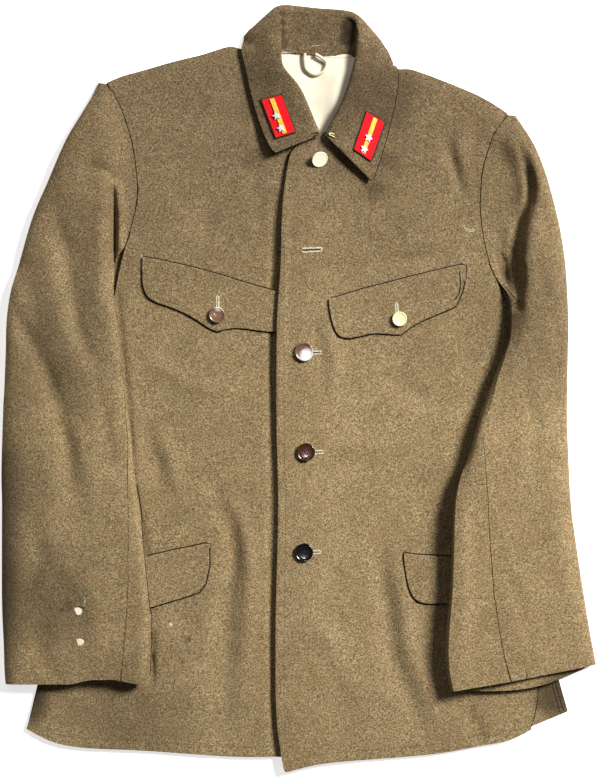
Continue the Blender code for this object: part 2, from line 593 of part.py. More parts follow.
def sleeve(side):
    """Surface of a whole sleeve: u from the shoulder to the cuff, v once round from the inner
    edge over the upper face (0 to 1) and back under it (1 to 2)."""
    table, armhole = (LEFT_SLEEVE, LEFT_SIDE) if side == "left" else (RIGHT_SLEEVE, RIGHT_SIDE)
    last = len(table) - 1
    inward = 1.0 if side == "left" else -1.0
    known = {}

    def section(u):
        if u not in known:
            known[u] = row_at(table, min(max(u, 0.0), 1.0) * last)
        return known[u]

    def surface(u, v):
        row = section(u)
        out_x, out_y, in_x, in_y, out_high, in_high, closed, ledge, run, _ = row
        seam_x = curve(armhole, in_y) - inward * ARMHOLE_GAP
        in_x = mix(seam_x, in_x, ease(closed / CLOSED_BY))
        if closed < 0.5:
            v = min(max(v, 0.0), 2.0)
        v %= 2.0000001
        upper = v <= 1.0
        share = v if upper else 2.0 - v
        width = math.hypot(out_x - in_x, out_y - in_y)
        radius = min(SLEEVE_EDGE, EDGE_LIMIT * width)
        if share < EDGE_SHARE:
            angle = 0.5 * math.pi * share / EDGE_SHARE
            along = mix(radius * share / EDGE_SHARE, radius * (1.0 - math.cos(angle)), closed)
            full = mix(1.0, math.sin(angle), closed)
        elif share > 1.0 - EDGE_SHARE:
            angle = 0.5 * math.pi * (1.0 - share) / EDGE_SHARE
            along = width - radius * (1.0 - math.cos(angle))
            full = math.sin(angle)
        else:
            middle = (share - EDGE_SHARE) / (1.0 - 2.0 * EDGE_SHARE)
            along = mix(radius, width - radius, middle)
            full = 1.0
        across = mix(in_x, out_x, along / width)
        down = mix(in_y, out_y, along / width)
        low = sleeve_rest(side, across, down)
        crest = mix(in_high, out_high, along / width) + folds_at(SLEEVE_FOLDS, across, down)
        joined = mix(ease((along - ledge) / run), 1.0, closed)
        crest = mix(body_high(in_x, in_y), crest, joined)
        crest = max(crest, low + SLEEVE_LEAST)
        middle_high = 0.5 * (low + crest)
        half = 0.5 * (crest - low) * full
        under_share = 0.5 * (1.0 - full if upper else 1.0 + full)
        spread = max((curve(armhole, in_y) - in_x) * inward - SEAM_GAP, 0.0)
        spread *= ease(closed / CLOSED_BY)
        across += inward * spread * under_share * (1.0 - ease(along / GUSSET_RUN))
        if not upper and u > CUFF_FROM and side == "right":
            down += curve(CUFF_UNDER, along / width) * (u - CUFF_FROM) / (1.0 - CUFF_FROM)
        return place(across, down, middle_high + half if upper else middle_high - half)

    return surface, section


def between(surface, start, end, knee=None):
    """Part of a sleeve between two places round it, each a function of the way along it. With
    a knee, its first half covers the way up to that place and its second half the rest."""
    def patch(u, v):
        if knee is None:
            return surface(u, mix(start(u), end(u), v))
        if v < 0.5:
            return surface(u, mix(start(u), knee, 2.0 * v))
        return surface(u, mix(knee, end(u), 2.0 * v - 1.0))
    return patch


def build_sleeves():
    """Upper and under part of each sleeve, with the wear holes and the lining behind them."""
    for side, wearer, turn in (("left", "right", -1.0), ("right", "left", 1.0)):
        surface, section = sleeve(side)
        steps = len(LEFT_SLEEVE if side == "left" else RIGHT_SLEEVE) - 1
        rows = evenly(7, 0.0, 3.0 / steps) + evenly(9, 3.6 / steps, 10.0 / steps)
        rows += evenly(steps - 10, 10.0 / steps, 1.0)[1:]
        upper_columns = SLEEVE_COLUMNS[side]
        top = wall(
            "topsleeve_" + wearer,
            between(surface, lambda u: section(u)[9] + SEAM_SHARE, lambda u: BACK_SEAM - SEAM_SHARE),
            rows, upper_columns, WOOL, "wool", turn=turn)
        wall(
            "undersleeve_" + wearer,
            between(surface, lambda u: BACK_SEAM + SEAM_SHARE,
                    lambda u: 2.0 + section(u)[9] - SEAM_SHARE, knee=2.0 - EDGE_SHARE),
            rows, evenly(6, 0.0, 0.5) + evenly(5, 0.5, 1.0)[1:], WOOL, "wool", turn=turn)
        if side == "left":
            cut_holes(top)
            wall("sleeve_lining_right",
                 between(surface, lambda u: 0.40, lambda u: 0.74),
                 rows[-5:-1], evenly(5), LINING, "lining", turn=turn, sink=WOOL + 2.0 * LAY_GAP)


def cut_holes(target):
    """Worn holes through the upper layer of a sleeve."""
    for index, (across, down, half_wide, half_long) in enumerate(SLEEVE_HOLES):
        bm = bmesh.new()
        bmesh.ops.create_cone(bm, cap_ends=True, segments=12, radius1=MM, radius2=MM,
                              depth=HOLE_REACH * MM)
        for vertex in bm.verts:
            angle = math.atan2(vertex.co.y, vertex.co.x)
            ragged = 1.0 + 0.12 * math.sin(3.0 * angle + index) + 0.07 * math.sin(5.0 * angle)
            vertex.co.x *= half_wide * ragged
            vertex.co.y *= half_long * ragged
            vertex.co += place(across, down, 0.5 * HOLE_REACH)
        cutter = add_object("hole_cutter_%d" % index, bm, "wool")
        cutter.hide_render = True
        cutter.display_type = "WIRE"
        cut = target.modifiers.new("worn_hole_%d" % index, "BOOLEAN")
        cut.operation = "DIFFERENCE"
        cut.solver = "EXACT"
        cut.object = cutter


def beyond_fold(edge_x, edge_y, fold_x, fold_y, roll_x, roll_y):
    """Shaping point that makes the fall turn exactly at its silhouette."""
    to_edge = math.hypot(edge_x - fold_x, edge_y - fold_y)
    to_roll = math.hypot(roll_x - fold_x, roll_y - fold_y)
    reach = 0.0
    for _ in range(16):
        near = to_edge + reach
        far = max(to_roll + reach, 0.01)
        turn = 1.0 / (1.0 + math.sqrt(3.0 * far / max(near, 0.01)))
        reach = near * (1.0 - turn) ** 4 + far * (4.0 * turn ** 3 - 3.0 * turn ** 4)
    off_x = fold_x - 0.5 * (edge_x + roll_x)
    off_y = fold_y - 0.5 * (edge_y + roll_y)
    length = max(math.hypot(off_x, off_y), 0.01)
    return fold_x + reach * off_x / length, fold_y + reach * off_y / length


def collar_points(station):
    """Edge, three shaping points and roll line of the fall, and the neck seam, at a station."""
    (wrap, edge_x, edge_y, edge_z, fold_x, fold_y, roll_x, roll_y, roll_z,
     neck_x, neck_y, neck_z) = row_at(COLLAR, station)
    behind = 1.0 - ease((abs(station - COLLAR_MIDDLE) - BEHIND_HALF) / BEHIND_RUN)
    turned_x, turned_y = beyond_fold(edge_x, edge_y, fold_x, fold_y, roll_x, roll_y)

    def shaping(share, high):
        across = mix(mix(edge_x, roll_x, share), turned_x, wrap)
        down = mix(mix(edge_y, roll_y, share), turned_y, wrap)
        return place(across, down, high)

    first = shaping(FALL_FIRST, edge_z + FALL_SWELL * (1.0 - wrap))
    spread_high = mix(edge_z, roll_z, FALL_SECOND) + FALL_SWELL
    second = shaping(FALL_SECOND, mix(spread_high, FALL_TURNED_HIGH * roll_z, wrap))
    roll = place(roll_x, roll_y, roll_z)
    upright = roll + Vector((0.0, 0.0, FALL_CROWN * MM))
    lying = roll.lerp(place(turned_x, turned_y, roll_z + FALL_LYING_RISE), FALL_LYING_SHARE)
    return (place(edge_x, edge_y, edge_z), first, second, upright.lerp(lying, behind), roll,
            place(neck_x, neck_y, neck_z), behind)


def build_collar():
    """Fall and stand of the collar, meeting along the roll line."""
    last = len(COLLAR) - 1
    known = {}

    def points(station):
        station = min(max(station, 0.0), float(last))
        if station not in known:
            known[station] = collar_points(station)
        return known[station]

    def fall(u, v):
        edge, first, second, third, roll = points(u * last)[:5]
        back = 1.0 - v
        return (edge * back ** 4 + first * 4.0 * back ** 3 * v
                + second * 6.0 * back * back * v * v + third * 4.0 * back * v ** 3
                + roll * v ** 4)

    def stand(u, v):
        roll, neck, behind = points(u * last)[4:]
        way = neck - roll
        start = roll + way.normalized() * STAND_GAP * MM
        start.z -= (1.0 - behind) * 5.0 * SEAM_GAP * MM
        sag = math.sin(math.pi * v) * STAND_SAG * behind * MM
        return start.lerp(neck, v) - Vector((0.0, 0.0, sag))

    fall_rows = []
    for index in range(last + 1):
        fall_rows.append(index / last)
        if 6 <= index <= 9 or 18 <= index <= 20:
            fall_rows.append((index + 0.5) / last)
    made = wall("collar_fall", fall, fall_rows, evenly(8), DOUBLE_WOOL, "wool", turn=-1.0)
    stand_rows = [row for row in fall_rows
                  if COLLAR_STAND_FROM / last < row < COLLAR_STAND_TO / last]
    wall("collar_stand", stand, stand_rows, evenly(3), WOOL, "wool_dark", turn=-1.0)
    return made


def build_neck_lining():
    """Lining of the back where the open neck shows it."""
    def surface(u, v):
        down = mix(NECK_LINING_END, NECK_LINING_TOP, u)
        left = curve(NECK_LINING_LEFT_SIDE, down)
        across = mix(left, curve(NECK_LINING_RIGHT_SIDE, down), v)
        return place(across, down, WOOL + SEAM_GAP + LINING)
    wall("neck_lining", surface, evenly(6), evenly(5), LINING, "lining", turn=-1.0)


def build_flap(name, outline, trees):
    """Pocket flap lying on a front."""
    first = outline[0][0]
    last = outline[-1][0]
    upper = [(row[0], row[1]) for row in outline]
    lower = [(row[0], row[2]) for row in outline]

    def surface(u, v):
        across = mix(first, last, v)
        down = mix(curve(lower, across), curve(upper, across), u)
        return place(across, down, top_at(trees, across, down) + LAY_GAP + WOOL)
    columns = []
    for row, after in zip(outline, outline[1:]):
        pieces = math.ceil((after[0] - row[0]) / FLAP_CELL)
        columns += evenly(pieces, (row[0] - first) / (last - first),
                          (after[0] - first) / (last - first))[:-1]
    columns.append(1.0)
    return wall(name, surface, evenly(3), columns, WOOL, "wool", turn=-1.0)


def build_button(name, across, down, width, tilt, trees, material):
    """Round button turned from one profile, with a short shank."""
    radius = 0.5 * width
    profile = [(0.0, 0.0), (BUTTON_SHANK, 0.0), (BUTTON_SHANK, BUTTON_HEAD[0][1] - 0.1)]
    profile += [(share * radius, high) for share, high in BUTTON_HEAD]
    bm = bmesh.new()
    verts = [bm.verts.new((r * MM, 0.0, z * MM)) for r, z in profile]
    edges = [bm.edges.new(pair) for pair in zip(verts, verts[1:])]
    bmesh.ops.spin(bm, geom=verts + edges, cent=(0, 0, 0), axis=(0, 0, 1), dvec=(0, 0, 0),
                   angle=2.0 * math.pi, steps=16, use_duplicate=False)
    bmesh.ops.remove_doubles(bm, verts=bm.verts, dist=1e-6)
    turned = Matrix.Rotation(math.radians(tilt), 3, "Y")
    lift = BUTTON_SEAT + abs(math.sin(math.radians(tilt))) * radius * BUTTON_SEAT
    centre = place(across, down, top_at(trees, across, down) + lift)
    for vertex in bm.verts:
        vertex.co = turned @ vertex.co + centre
    return add_object(name, bm, material)


def build_wire(name, points, thickness, material, closed=False):
    """Round cord or wire along a short list of points."""
    line = bpy.data.curves.new(name, "CURVE")
    line.dimensions = "3D"
    line.bevel_depth = 0.5 * thickness * MM
    line.bevel_resolution = 1
    line.resolution_u = 3
    line.use_fill_caps = True
    spline = line.splines.new("NURBS")
    spline.points.add(len(points) - 1)
    for point, spot in zip(spline.points, points):
        point.co = (*place(*spot), 1.0)
    spline.use_endpoint_u = True
    spline.order_u = 3
    spline.use_cyclic_u = closed
    line_object = bpy.data.objects.new(name + "_line", line)
    bpy.context.scene.collection.objects.link(line_object)
    graph = bpy.context.evaluated_depsgraph_get()
    bm = bmesh.new()
    bm.from_mesh(line_object.evaluated_get(graph).to_mesh())
    bmesh.ops.remove_doubles(bm, verts=bm.verts, dist=1e-6)
    bpy.data.objects.remove(line_object)
    return add_object(name, bm, material)


def build_tab(name, corners, stars, fall_tree):
    """Rank tab on the collar with its braid stripe and two stars."""
    a, b, c, d = (Vector(corner) for corner in corners)

    def flat(u, v):
        return a.lerp(b, v).lerp(d.lerp(c, v), 1.0 - u)

    def surface(u, v):
        spot = flat(u, v)
        return place(spot.x, spot.y, top_at([fall_tree], spot.x, spot.y) + LAY_GAP + TAB_THICK)

    rows = evenly(5)
    tab = wall("rank_tab_" + name, surface, rows, evenly(2), TAB_THICK, "red_cloth", turn=-1.0)

    def stripe_surface(u, v):
        return surface(u, 0.5 + STRIPE_SHARE * (v - 0.5))
    stripe = wall("rank_stripe_" + name, stripe_surface, evenly(5, 0.03, 0.97), evenly(1),
                  STRIPE_THICK, "yellow_braid", turn=-1.0, sink=-(STRIPE_THICK + STRIPE_SEAT))
    long_way = (surface(1.0, 0.5) - surface(0.0, 0.5)).normalized()
    wide_way = (surface(0.5, 1.0) - surface(0.5, 0.0)).normalized()
    normal = wide_way.cross(long_way).normalized()
    trees = [tree_of(tab), tree_of(stripe)]
    for index, (across, down) in enumerate(stars):
        bm = bmesh.new()
        centre = place(across, down, top_at(trees, across, down) + STAR_SEAT)
        ring = []
        for corner in range(10):
            angle = math.pi * corner / 5.0
            reach = STAR_SIZE * (1.0 if corner % 2 == 0 else STAR_INNER) * MM
            ring.append(centre + (long_way * math.cos(angle) + wide_way * math.sin(angle)) * reach)
        low = [bm.verts.new(point) for point in ring]
        high = [bm.verts.new(point + normal * STAR_RIM * STAR_THICK * MM) for point in ring]
        peak = bm.verts.new(centre + normal * STAR_THICK * MM)
        bm.faces.new(list(reversed(low)))
        for start, end in zip(range(10), list(range(1, 10)) + [0]):
            bm.faces.new((low[start], low[end], high[end], high[start]))
            bm.faces.new((high[start], high[end], peak))
        add_object("star_%s_%s" % (name, "upper" if index == 0 else "lower"), bm, "silver")


def build_hook_and_eye(fall_tree):
    """Wire hook and eye sewn on at the two ends of the collar."""
    def laid(points):
        return [(across, down, top_at([fall_tree], across, down) + 0.5 * WIRE_THICK + 0.4 + lift)
                for across, down, lift in points]
    build_wire("collar_hook", laid(((334.4, 138.2, 0), (330.5, 136.6, 0), (328.6, 135.2, 0.3),
                                    (329.6, 133.8, 0.3), (334, 135.4, 0))), WIRE_THICK, "brass")
    build_wire("collar_eye", laid(((313.4, 137.4, 0), (316.6, 136.2, 0), (318.6, 134.8, 0.2),
                                   (317.6, 133.2, 0.2), (313.4, 134.8, 0))), WIRE_THICK, "brass")


def main():
    for leftover in list(bpy.data.objects):
        bpy.data.objects.remove(leftover)
    under, over = build_body()
    build_sleeves()
    fall = build_collar()
    build_neck_lining()
    under_tree = tree_of(under)
    over_tree = tree_of(over)
    flap_right = build_flap("breast_flap_right", BREAST_FLAP_RIGHT, [under_tree])
    flap_left = build_flap("breast_flap_left", BREAST_FLAP_LEFT, [over_tree])
    build_flap("hip_flap_right", HIP_FLAP_RIGHT, [under_tree])
    build_flap("hip_flap_left", HIP_FLAP_LEFT, [over_tree])
    materials = ("ivory_brass", "bronze", "dark_bronze", "black_enamel")
    for number, (row, material) in enumerate(zip(FRONT_BUTTONS, materials), 1):
        across, down, width, tilt = row
        build_button("front_button_%d" % number, across, down, width, tilt, [over_tree], material)
    flaps = {"pocket_button_right": (flap_right, "bronze"), "pocket_button_left": (flap_left, "brass")}
    for name, across, down, width in POCKET_BUTTONS:
        flap, material = flaps[name]
        build_button(name, across, down, width, 0.0, [tree_of(flap)], material)
    fall_tree = tree_of(fall)
    build_tab("right", TAB_ON_RIGHT_COLLAR, STARS_ON_RIGHT_COLLAR, fall_tree)
    build_tab("left", TAB_ON_LEFT_COLLAR, STARS_ON_LEFT_COLLAR, fall_tree)
    build_hook_and_eye(fall_tree)
    build_wire("hanger_loop", HANGER_LOOP, HANGER_THICK, "tape")


main()
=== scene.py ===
"""Looks of a khaki wool service tunic that lies flat on its back, front side up.

Sizes are in millimetres in the tunic's own layout: "across" runs to the right, "down" runs from the
collar to the hem and "high" is the height above the table. The solids of the frame carry the shape;
each cloth piece here is a thin shell on its solid, with finer creases, sewing and wear. Some shade
is painted: into the wool's colour and as nearly black lines, and two buttons carry a painted
highlight.
"""
from __future__ import annotations

import logging
import math
from dataclasses import dataclass
from enum import Enum
from typing import Any, Callable, Iterable, Sequence

import bmesh
import bpy
import numpy as np
from mathutils import Matrix, Vector, noise
from mathutils.bvhtree import BVHTree

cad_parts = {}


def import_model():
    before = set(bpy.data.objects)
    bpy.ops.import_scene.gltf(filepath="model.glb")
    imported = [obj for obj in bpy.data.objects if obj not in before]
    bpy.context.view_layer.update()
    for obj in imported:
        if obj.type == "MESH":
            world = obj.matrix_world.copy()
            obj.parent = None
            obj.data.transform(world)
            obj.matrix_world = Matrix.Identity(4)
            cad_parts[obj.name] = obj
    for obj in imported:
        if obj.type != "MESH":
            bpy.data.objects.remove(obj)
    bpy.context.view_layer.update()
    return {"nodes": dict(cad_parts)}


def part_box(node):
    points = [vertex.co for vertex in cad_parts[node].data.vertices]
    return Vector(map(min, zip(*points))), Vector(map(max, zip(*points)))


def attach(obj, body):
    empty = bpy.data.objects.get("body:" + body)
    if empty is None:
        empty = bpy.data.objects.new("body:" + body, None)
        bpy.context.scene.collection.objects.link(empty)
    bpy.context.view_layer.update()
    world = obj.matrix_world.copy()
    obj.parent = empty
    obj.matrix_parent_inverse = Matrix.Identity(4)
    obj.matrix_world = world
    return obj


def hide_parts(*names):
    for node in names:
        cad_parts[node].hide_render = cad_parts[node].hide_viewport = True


LOG = logging.getLogger("tunic")

MM = 0.001
UP = Vector((0.0, 0.0, 1.0))
BODY = "root"
# Place of the shared frame's origin in the layout.
ACROSS_MID = 300.26
DOWN_MID = 387.89
# Height that the cloth is looked for from, and slope from which sewing stands upright on it.
LOOK_FROM_MM = 200.0
FLAT_ENOUGH = 0.2
# Angles in degrees from which an edge counts as the rim of a cut piece, button or small part.
RIM_ANGLE = 52.0
BUTTON_RIM_ANGLE = 50.0
PART_ANGLE = 40.0
SAME_PLACE_M = 1e-6
# Rings of a button's dish from the rim inwards: width in radii and share of the dish's depth.
DISH_RINGS = ((0.06, 0.6), (0.2, 0.25), (0.25, 0.15), (0.25, 0.05))
# Colour of soiled places and of painted shade, and a greyer painted shade that darkens the cloth
# from below the waist up to the shoulders.
SOIL_AND_SHADE_COLOUR = "2E2418"
TOP_SHADE_COLOUR = "C4C2C4"
TOP_SHADE_FROM_M, TOP_SHADE_TO_M = -0.06, 0.30

# Fine waves of laid cloth: waves a metre across and down, place in the noise and share.
WAVES = ((28.0, 20.0, 0.3, 1.0), (75.0, 60.0, 7.1, 0.4))

Row = tuple[float, ...]
Line = Sequence[tuple[float, float]]
Socket = bpy.types.NodeSocket

# Wool mixture: size of the tufts in mm, detail, low and high end of the noise, share, colour, how
# it is laid on.
WOOL_TUFTS = (
    (1.6, 2.0, 0.42, 0.58, 0.80, "54442C", "MIX"),
    (1.4, 1.5, 0.52, 0.63, 0.70, "BFAB82", "MIX"),
    (2.2, 1.0, 0.57, 0.67, 0.36, "A37A50", "MIX"),
    (2.4, 1.0, 0.58, 0.68, 0.40, "757763", "MIX"),
    (7.0, 2.0, 0.46, 0.64, 0.26, "8A6642", "MIX"),
    (24.0, 3.0, 0.35, 0.70, 0.30, "C9C3BA", "MULTIPLY"),
    (130.0, 2.0, 0.35, 0.65, 0.24, "D2CBC0", "MULTIPLY"),
)
# Inside the collar, larger and darker clouds are laid over that mixture.
SOILED_TUFTS = WOOL_TUFTS + ((14.0, 3.0, 0.35, 0.65, 0.35, "B5AEA4", "MULTIPLY"),)


@dataclass(frozen=True)
class StainOrShade:
    """Soiled place or painted shade: where it is, full to, gone at, strength and times as long as
    wide.
    """

    across: float
    down: float
    high: float
    near_mm: float
    far_mm: float
    most: float
    longer: float = 1.0


# Soiled places of the cloth and painted shade in its colour, as the photograph shows them.
STAINS_AND_PAINTED_SHADE = (
    StainOrShade(63, 609, 21.5, 1, 3.4, 0.6), StainOrShade(70, 604, 22, 2, 9, 0.4),
    StainOrShade(187, 640, 6.8, 1, 6.5, 0.45), StainOrShade(470, 582, 20, 0.8, 2.6, 0.6),
    # Second: painted shade beside the outer edge of the collar fall's right half.
    StainOrShade(379, 93, 15.8, 0.5, 1.7, 0.9), StainOrShade(248, 112, 12, 2, 16, 0.2),
    # Painted shade on the collar stand's left end, where it turns up.
    StainOrShade(349.5, 26, 9.1, 5, 12, 0.85), StainOrShade(347, 38, 9, 5, 11, 0.8),
    # The next five: painted shade along the stand's right end, where the fall turns over it, then
    # where the right front's tail curls down at the hem.
    StainOrShade(283, 14, 12, 2, 5, 0.6), StainOrShade(282.5, 23, 12.2, 2.4, 6, 0.7),
    StainOrShade(282.5, 33, 12, 3, 7, 0.7), StainOrShade(283, 43, 10, 4, 8, 0.6), StainOrShade(28, 706, 4, 8, 30, 0.8),
    # The next four: painted shade under and beside the collar fall's points.
    StainOrShade(252, 156, 7, 3, 17, 0.35), StainOrShade(376, 188, 7, 2, 22, 0.45),
    StainOrShade(387, 160, 7, 2, 19, 0.45), StainOrShade(338, 168, 10, 3, 20, 0.35),
    StainOrShade(256, 76, 12, 8, 40, 0.12), StainOrShade(46, 600, 21, 15, 76, 0.42),
    # Second: painted shade on the back's tail beside the left front's edge.
    StainOrShade(128, 716, 6, 10, 95, 0.3), StainOrShade(558, 696, 4, 12, 34, 0.75),
    # First: painted shade along the right sleeve's outer edge, which faces away from the key light;
    # second: the left sleeve darker in its middle.
    StainOrShade(22, 480, 16, 8, 60, 0.25), StainOrShade(552, 330, 18, 30, 110, 0.3),
    # First: the right sleeve darker in its middle; second: painted shade on the collar fall's left
    # half, which faces the key light.
    StainOrShade(60, 350, 18, 20, 90, 0.28), StainOrShade(380, 92, 13, 18, 60, 0.42),
    # Painted shade at the right front's tail edge, and along the right sleeve's outer edge.
    StainOrShade(38, 690, 4, 4, 20, 0.5), StainOrShade(1, 545, 13, 7, 34, 0.8, 6),
)


def spot(across: float, down: float, high: float = 0.0) -> Vector:
    """Point of the shared frame in metres, from its place in the layout in millimetres."""
    return Vector(((across - ACROSS_MID) * MM, (DOWN_MID - down) * MM, high * MM))


def smooth_share(share: np.ndarray) -> np.ndarray:
    """Eases a share from 0 to 1 in and out."""
    return share * share * (3.0 - 2.0 * share)


def stations(line: Line) -> tuple[np.ndarray, np.ndarray]:
    """Corners of a line as an array, and how far along the line each of them is."""
    points = np.array(line, dtype=float)
    return points, np.concatenate([[0.0], np.cumsum(np.hypot(*np.diff(points, axis=0).T))])


def placing(way: Vector, side: Vector, up: Vector, size: Row, at: Vector) -> Matrix:
    """Placing of a shape of unit size.

    Args:
        way: Unit vector along the shape.
        side: Unit vector across it.
        up: Unit vector away from the cloth.
        size: Length, width and height, in millimetres.
        at: Its middle, in metres.

    Returns:
        The matrix that turns, sizes and moves the shape.
    """
    place = Matrix((way * size[0] * MM, side * size[1] * MM, up * size[2] * MM))
    place = place.transposed().to_4x4()
    place.translation = at
    return place


def folded(edge: bmesh.types.BMEdge, degrees: float) -> bool:
    """Tells whether two faces meet at an edge by more than an angle."""
    return len(edge.link_faces) == 2 and edge.calc_face_angle(0.0) > math.radians(degrees)


def linear(colour: str) -> tuple[float, float, float, float]:
    """Linear colour of an sRGB hex value.

    Args:
        colour: Six hex digits, such as "8F7A58".

    Returns:
        Red, green, blue and an alpha of 1.
    """
    parts = [int(colour[place:place + 2], 16) / 255.0 for place in (0, 2, 4)]
    red, green, blue = (part / 12.92 if part <= 0.04045 else ((part + 0.055) / 1.055) ** 2.4
                        for part in parts)
    return red, green, blue, 1.0


def add_node(tree: bpy.types.NodeTree, kind: str, settings: dict[str, Any] | None = None,
             inputs: dict[Any, Any] | None = None) -> bpy.types.Node:
    """Adds one shader node with its settings and links.

    Args:
        tree: Node tree of the material.
        kind: Blender's name of the node.
        settings: Attributes of the node.
        inputs: Value of each input, or the output socket linked to it.

    Returns:
        The node.
    """
    node = tree.nodes.new(kind)
    for key, value in (settings or {}).items():
        setattr(node, key, value)
    for key, value in (inputs or {}).items():
        if isinstance(value, Socket):
            tree.links.new(value, node.inputs[key])
        else:
            node.inputs[key].default_value = value
    return node


class Bench:
    """Blender's operators, used on one piece at a time as a modeller does by hand."""

    @staticmethod
    def take(piece: bpy.types.Object) -> None:
        """Selects one piece alone and makes it active."""
        if bpy.context.mode != "OBJECT":
            bpy.ops.object.mode_set(mode="OBJECT")
        bpy.ops.object.select_all(action="DESELECT")
        piece.select_set(True)
        bpy.context.view_layer.objects.active = piece

    @staticmethod
    def new(name: str) -> bpy.types.Object:
        """Names the primitive that was just added and returns it."""
        piece = bpy.context.active_object
        piece.name = name
        piece.data.name = name
        return piece

    @staticmethod
    def link(name: str, data: bpy.types.ID) -> bpy.types.Object:
        """Puts a mesh, curve, lamp or camera into the scene and returns its object."""
        piece = bpy.data.objects.new(name, data)
        bpy.context.scene.collection.objects.link(piece)
        return piece

    @staticmethod
    def mesh(name: str, verts: Sequence[Any], faces: Sequence[Row]) -> bpy.types.Object:
        """Puts a mesh of the given corners and faces into the scene and returns its object."""
        data = bpy.data.meshes.new(name)
        data.from_pydata(verts, [], faces)
        return Bench.link(name, data)

    @staticmethod
    def edit(piece: bpy.types.Object) -> None:
        """Opens one piece in edit mode with nothing selected."""
        Bench.take(piece)
        bpy.ops.object.mode_set(mode="EDIT")
        bpy.ops.mesh.select_mode(type="FACE")
        bpy.ops.mesh.select_all(action="DESELECT")

    @staticmethod
    def copy_solid(name: str, solid: bpy.types.Object, flat: float) -> bpy.types.Object:
        """Copies a solid's mesh, joins its triangles to quads and leaves it in edit mode.

        Args:
            name: Name of the new piece.
            solid: Solid of the frame, which stays as it is.
            flat: Angle in degrees up to which two triangles become one quad.

        Returns:
            The new piece.
        """
        piece = Bench.link(name, solid.data.copy())
        Bench.edit(piece)
        bpy.ops.mesh.select_all(action="SELECT")
        bpy.ops.mesh.customdata_custom_splitnormals_clear()
        bpy.ops.mesh.remove_doubles(threshold=SAME_PLACE_M)
        bpy.ops.mesh.tris_convert_to_quads(face_threshold=math.radians(flat),
                                           shape_threshold=math.radians(179.0))
        return piece

    @staticmethod
    def pick(piece: bpy.types.Object, test: Callable[[Any], bool], kind: str = "FACE") -> None:
        """Selects the faces, edges or vertices that pass a test, in edit mode.

        Args:
            piece: Piece in edit mode.
            test: Test of one face, edge or vertex.
            kind: FACE, EDGE or VERT.
        """
        bpy.ops.mesh.select_mode(type=kind)
        bpy.ops.mesh.select_all(action="DESELECT")
        bm = bmesh.from_edit_mesh(piece.data)
        for part in {"FACE": bm.faces, "EDGE": bm.edges, "VERT": bm.verts}[kind]:
            part.select_set(test(part))
        bm.select_flush_mode()
        bmesh.update_edit_mesh(piece.data)

    @staticmethod
    def done() -> None:
        """Closes edit mode."""
        bpy.ops.object.mode_set(mode="OBJECT")

    @staticmethod
    def apply(piece: bpy.types.Object, kind: str, **settings: Any) -> None:
        """Adds one modifier with its settings and applies it."""
        Bench.take(piece)
        modifier = piece.modifiers.new(kind.lower(), kind)
        for key, value in settings.items():
            setattr(modifier, key, value)
        bpy.ops.object.modifier_apply(modifier=modifier.name)

    @staticmethod
    def settle(piece: bpy.types.Object) -> None:
        """Puts a piece's place, turn and size into its mesh."""
        Bench.take(piece)
        bpy.ops.object.transform_apply(location=True, rotation=True, scale=True)

    @staticmethod
    def dress(piece: bpy.types.Object, material: bpy.types.Material, slot: str,
              angle: float) -> None:
        """Shades a piece smooth, gives it its material and lets it ride.

        Args:
            piece: Finished mesh piece.
            material: Its one material.
            slot: Slot of the record; not used.
            angle: Angle in degrees past which an edge stays sharp.
        """
        Bench.take(piece)
        bpy.ops.object.shade_smooth_by_angle(angle=math.radians(angle), keep_sharp_edges=False)
        piece.data.materials.clear()
        piece.data.materials.append(material)
        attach(piece, BODY)
        LOG.info("%s: %d faces, %s", piece.name, len(piece.data.polygons), material.name)


